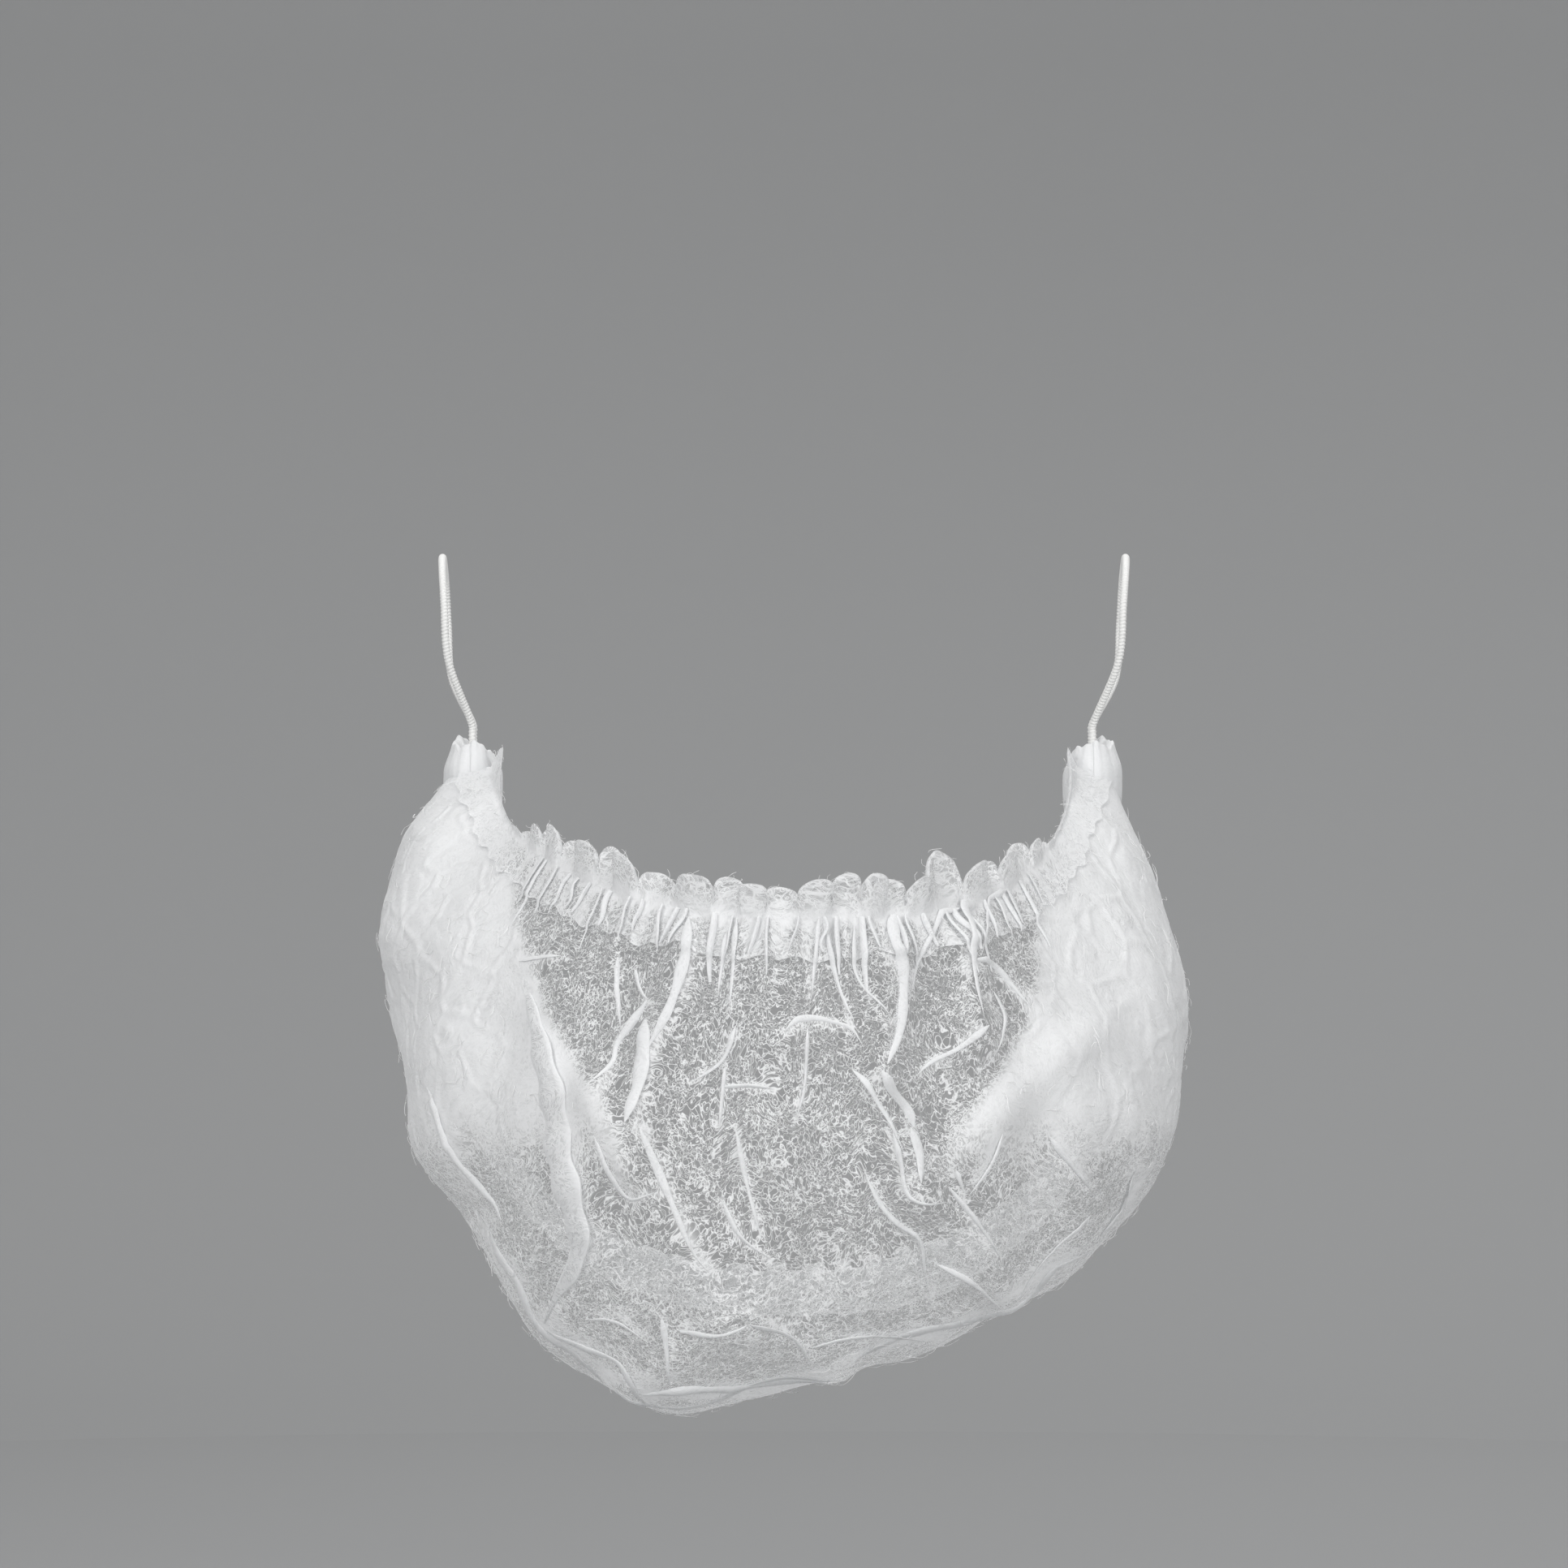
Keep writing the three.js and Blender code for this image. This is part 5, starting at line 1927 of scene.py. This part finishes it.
@dataclass
class EarLoop:
    """Round knitted elastic that runs up from the bunched end in a loop and back."""

    cloth: Cloth
    side: Side
    finish: bpy.types.Material
    diameter: float = 0.0016
    top_x: float = 0.0715
    depth: float = 0.025
    seat: float = 0.004
    strand_spacing: float = 0.0044
    crown_height: float = 0.0064
    rib_pitch: float = 0.00072
    rib_height: float = 0.00009
    sides: int = 12
    step: float = 0.00014
    route: tuple[tuple[float, float, float], ...] = (
        (0.72, -0.43, 0.42), (0.85, -0.46, 0.74), (0.97, -0.22, 0.965), (1.0, 0.06, 1.0),
        (0.98, 0.40, 0.86), (0.92, 0.52, 0.62), (0.78, 0.40, 0.33),
    )

    def path(self) -> Array:
        """Work out the elastic's middle line, on the model's own route.

        Returns:
            Evenly spaced points, one to a row.
        """
        base = self.cloth.form.end_centre(self.side)
        rise = self.cloth.form.end_below_ears - self.crown_height - self.diameter / 2

        def strand(place: float, height: float) -> Array:
            """Give a point of one straight strand over the crown's top."""
            return base + np.array([0.0, place * self.strand_spacing / 2, self.crown_height + height])

        points = [strand(-1.0, -self.seat), strand(-1.0, 0.0), strand(-1.0, self.diameter)]
        for out, back, up in self.route:
            points.append(np.array([
                base[0] + out * (self.side.value * self.top_x - base[0]),
                back * self.depth + base[1] * (1.0 - up),
                base[2] + self.crown_height + up * rise,
            ]))
        points += [strand(1.0, self.diameter), strand(1.0, 0.0), strand(1.0, -self.seat)]
        line = np.array(points)
        length = lengths_along(smooth_path(line, 400))[-1]
        return smooth_path(line, int(length / self.step))

    def tree(self) -> bpy.types.NodeTree:
        """Build the tree that knits a ribbed tube along a curve.

        Returns:
            The tree.
        """
        graph, given, out = new_tree("knitted_tube", {
            "Radius": ("NodeSocketFloat", self.diameter / 2),
            "Rib Pitch": ("NodeSocketFloat", self.rib_pitch),
            "Rib Height": ("NodeSocketFloat", self.rib_height),
            "Finish": ("NodeSocketMaterial", None),
        })
        spline = graph.add("GeometryNodeSplineParameter")
        kept = graph.add("GeometryNodeStoreNamedAttribute", {
            "Geometry": given.outputs["Geometry"], "Name": "run", "Value": spline.outputs["Length"],
        }, data_type="FLOAT", domain="POINT")
        ring = graph.add("GeometryNodeCurvePrimitiveCircle", {
            "Resolution": self.sides, "Radius": given.outputs["Radius"],
        })
        turn = graph.add("GeometryNodeStoreNamedAttribute", {
            "Geometry": ring.outputs[0], "Name": "turn",
            "Value": graph.add("GeometryNodeSplineParameter").outputs["Factor"],
        }, data_type="FLOAT", domain="POINT")
        tube = graph.add("GeometryNodeCurveToMesh", {
            "Curve": kept.outputs[0], "Profile Curve": turn.outputs[0], "Fill Caps": True,
        })
        run = graph.add("GeometryNodeInputNamedAttribute", {"Name": "run"}, data_type="FLOAT").outputs[0]
        around = graph.add("GeometryNodeInputNamedAttribute", {"Name": "turn"}, data_type="FLOAT").outputs[0]
        wave = graph.math("MULTIPLY", graph.math("DIVIDE", run, given.outputs["Rib Pitch"]), 2 * math.pi)
        slant = graph.math("MULTIPLY", graph.math("SINE", graph.math("MULTIPLY", around, 4 * math.pi)), 1.3)
        rib = graph.math("SINE", graph.math("ADD", wave, slant))
        lift = graph.math("MULTIPLY", rib, given.outputs["Rib Height"])
        raised = graph.scaled(graph.add("GeometryNodeInputNormal").outputs[0], lift)
        moved = graph.add("GeometryNodeSetPosition", {"Geometry": tube.outputs[0], "Offset": raised})
        graph.close_shape(out, moved.outputs[0], given.outputs["Finish"])
        return graph.tree

    def build(self) -> bpy.types.Object:
        """Knit the loop.

        Returns:
            The loop's object.
        """
        word = self.side.name.lower()
        line = self.path()
        curve = bpy.data.curves.new(f"elastic_{word}", "CURVE")
        curve.dimensions = "3D"
        spline = curve.splines.new("POLY")
        spline.points.add(len(line) - 1)
        spline.points.foreach_set("co", np.hstack([line, np.ones((len(line), 1))]).ravel())
        piece = bpy.data.objects.new(f"elastic_{word}", curve)
        bpy.context.scene.collection.objects.link(piece)
        made = run_nodes(piece, self.tree(), {
            "Radius": self.diameter / 2 - self.rib_height / 2, "Rib Pitch": self.rib_pitch,
            "Rib Height": self.rib_height, "Finish": self.finish,
        })
        made.data.shade_smooth()
        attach(made, "root")
        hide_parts(f"ear_loop_{word}")
        LOG.info("%s: %.4f m of elastic", made.name, lengths_along(line)[-1])
        return made


# Studio


@dataclass
class Studio:
    """A pale floor that curves up into a wall all round, soft light and the camera."""

    floor_height: float = -0.34
    floor_radius: float = 1.5
    curve_radius: float = 0.7
    wall_height: float = 1.9
    segments: int = 96
    world_strength: float = 0.33
    lit_point: tuple[float, float, float] = (0.0, -0.05, -0.1)
    lamps: tuple[tuple[str, tuple[float, float, float], float, float], ...] = (
        ("key_light", (-1.0, -1.75, 0.8), 1.2, 31.0),
        ("fill_light", (1.25, -1.5, 0.45), 1.2, 20.0),
        ("top_light", (0.0, 0.1, 1.4), 1.3, 8.0),
        ("back_light", (0.3, 1.7, 1.2), 1.4, 13.0),
    )

    def backdrop(self) -> None:
        """Make the floor and the wall that it curves up into."""
        arc = np.linspace(0.0, math.pi / 2, 12)
        far = self.floor_radius + self.curve_radius
        radius = np.append(self.floor_radius + self.curve_radius * np.sin(arc), far)
        height = np.append(self.curve_radius * (1.0 - np.cos(arc)), self.wall_height)
        angle = np.linspace(0.0, 2 * math.pi, self.segments, endpoint=False)
        points = np.stack([
            np.outer(np.cos(angle), radius), np.outer(np.sin(angle), radius),
            np.broadcast_to(height + self.floor_height, (self.segments, len(height))),
        ], axis=-1)
        paint = StudioFinish().build()
        parts = MeshParts()
        flat = np.zeros(points.shape[:2] + (2,))
        parts.add_grid(points, flat, np.zeros(points.shape[:2]), closed=True, flip=True)
        wall = parts.build("studio_floor")
        wall.data.materials.append(paint)
        disc_mesh = bpy.data.meshes.new("studio_disc")
        disc_mesh.from_pydata(points[:, 0].tolist(), [], [list(range(self.segments))])
        disc_mesh.materials.append(paint)
        disc = bpy.data.objects.new("studio_disc", disc_mesh)
        bpy.context.scene.collection.objects.link(disc)

    def light(self, name: str, place: tuple[float, float, float], aim: tuple[float, float, float],
              size: float, power: float) -> None:
        """Hang one soft light.

        Args:
            name: The light's name.
            place: Where it hangs.
            aim: What it points at.
            size: The side of its square face.
            power: Its power in watts.
        """
        lamp = bpy.data.lights.new(name, "AREA")
        lamp.size, lamp.energy = size, power
        made = bpy.data.objects.new(name, lamp)
        made.location = place
        made.rotation_euler = (Vector(aim) - Vector(place)).to_track_quat("-Z", "Y").to_euler()
        bpy.context.scene.collection.objects.link(made)

    def camera(self) -> None:
        """Set the camera at the photograph's angle and framing."""
        lens = bpy.data.cameras.new("camera")
        lens.sensor_width = SENSOR_WIDTH
        lens.lens = SENSOR_WIDTH * CAMERA_DISTANCE / (PICTURE_SIZE * PIXEL)
        made = bpy.data.objects.new("camera", lens)
        made.location = (0.0, -CAMERA_DISTANCE, CAMERA_HEIGHT)
        made.rotation_euler = (math.pi / 2, 0.0, 0.0)
        bpy.context.scene.collection.objects.link(made)
        bpy.context.scene.camera = made

    def build(self) -> None:
        """Set up the floor, the lights, the world and the camera."""
        self.camera()
        self.backdrop()
        for name, place, size, power in self.lamps:
            self.light(name, place, self.lit_point, size, power)
        world = bpy.data.worlds.new("studio_air")
        world.use_nodes = True
        air = world.node_tree.nodes["Background"]
        air.inputs["Color"].default_value = (1.0, 1.0, 1.0, 1.0)
        air.inputs["Strength"].default_value = self.world_strength
        bpy.context.scene.world = world
        bpy.context.scene.view_settings.view_transform = "Standard"


def main() -> None:
    """Build the net and its studio."""
    logging.basicConfig(level=logging.INFO, format="%(name)s: %(message)s")
    Studio().build()
    cloth = Cloth()
    pouch_finish = NonwovenFinish("open_nonwoven", least_cover=-0.4).build()
    hem_finish = NonwovenFinish("hem_nonwoven", least_cover=0.05).build()
    bunched_finish = NonwovenFinish("bunched_nonwoven", least_cover=-1.0, close_haze=1.0).build()
    elastic_finish = ElasticFinish().build()
    pouch = Pouch(cloth, pouch_finish)
    sheet = pouch.build()
    creases = pouch.creases()
    nose_hem = FrontHem(cloth, pouch, hem_finish).build()
    throat_hem = BackHem(cloth, pouch, hem_finish).build()
    fibre_finish = FibreFinish().build()
    bag_hairs = LooseFibres("bag_hairs", Slot.POUCH, fibre_finish, 26000.0, stand=0.22).build(sheet)
    hem_hairs = LooseFibres("hem_hairs", Slot.HEM, fibre_finish, 90000.0, shortest=0.0016, longest=0.0040,
                            stand=0.8, seed=23).build(nose_hem)
    for side in Side:
        CornerGather(cloth, side, bunched_finish).build()
        EarLoop(cloth, side, elastic_finish).build()


if __name__ == "__main__":
    main()
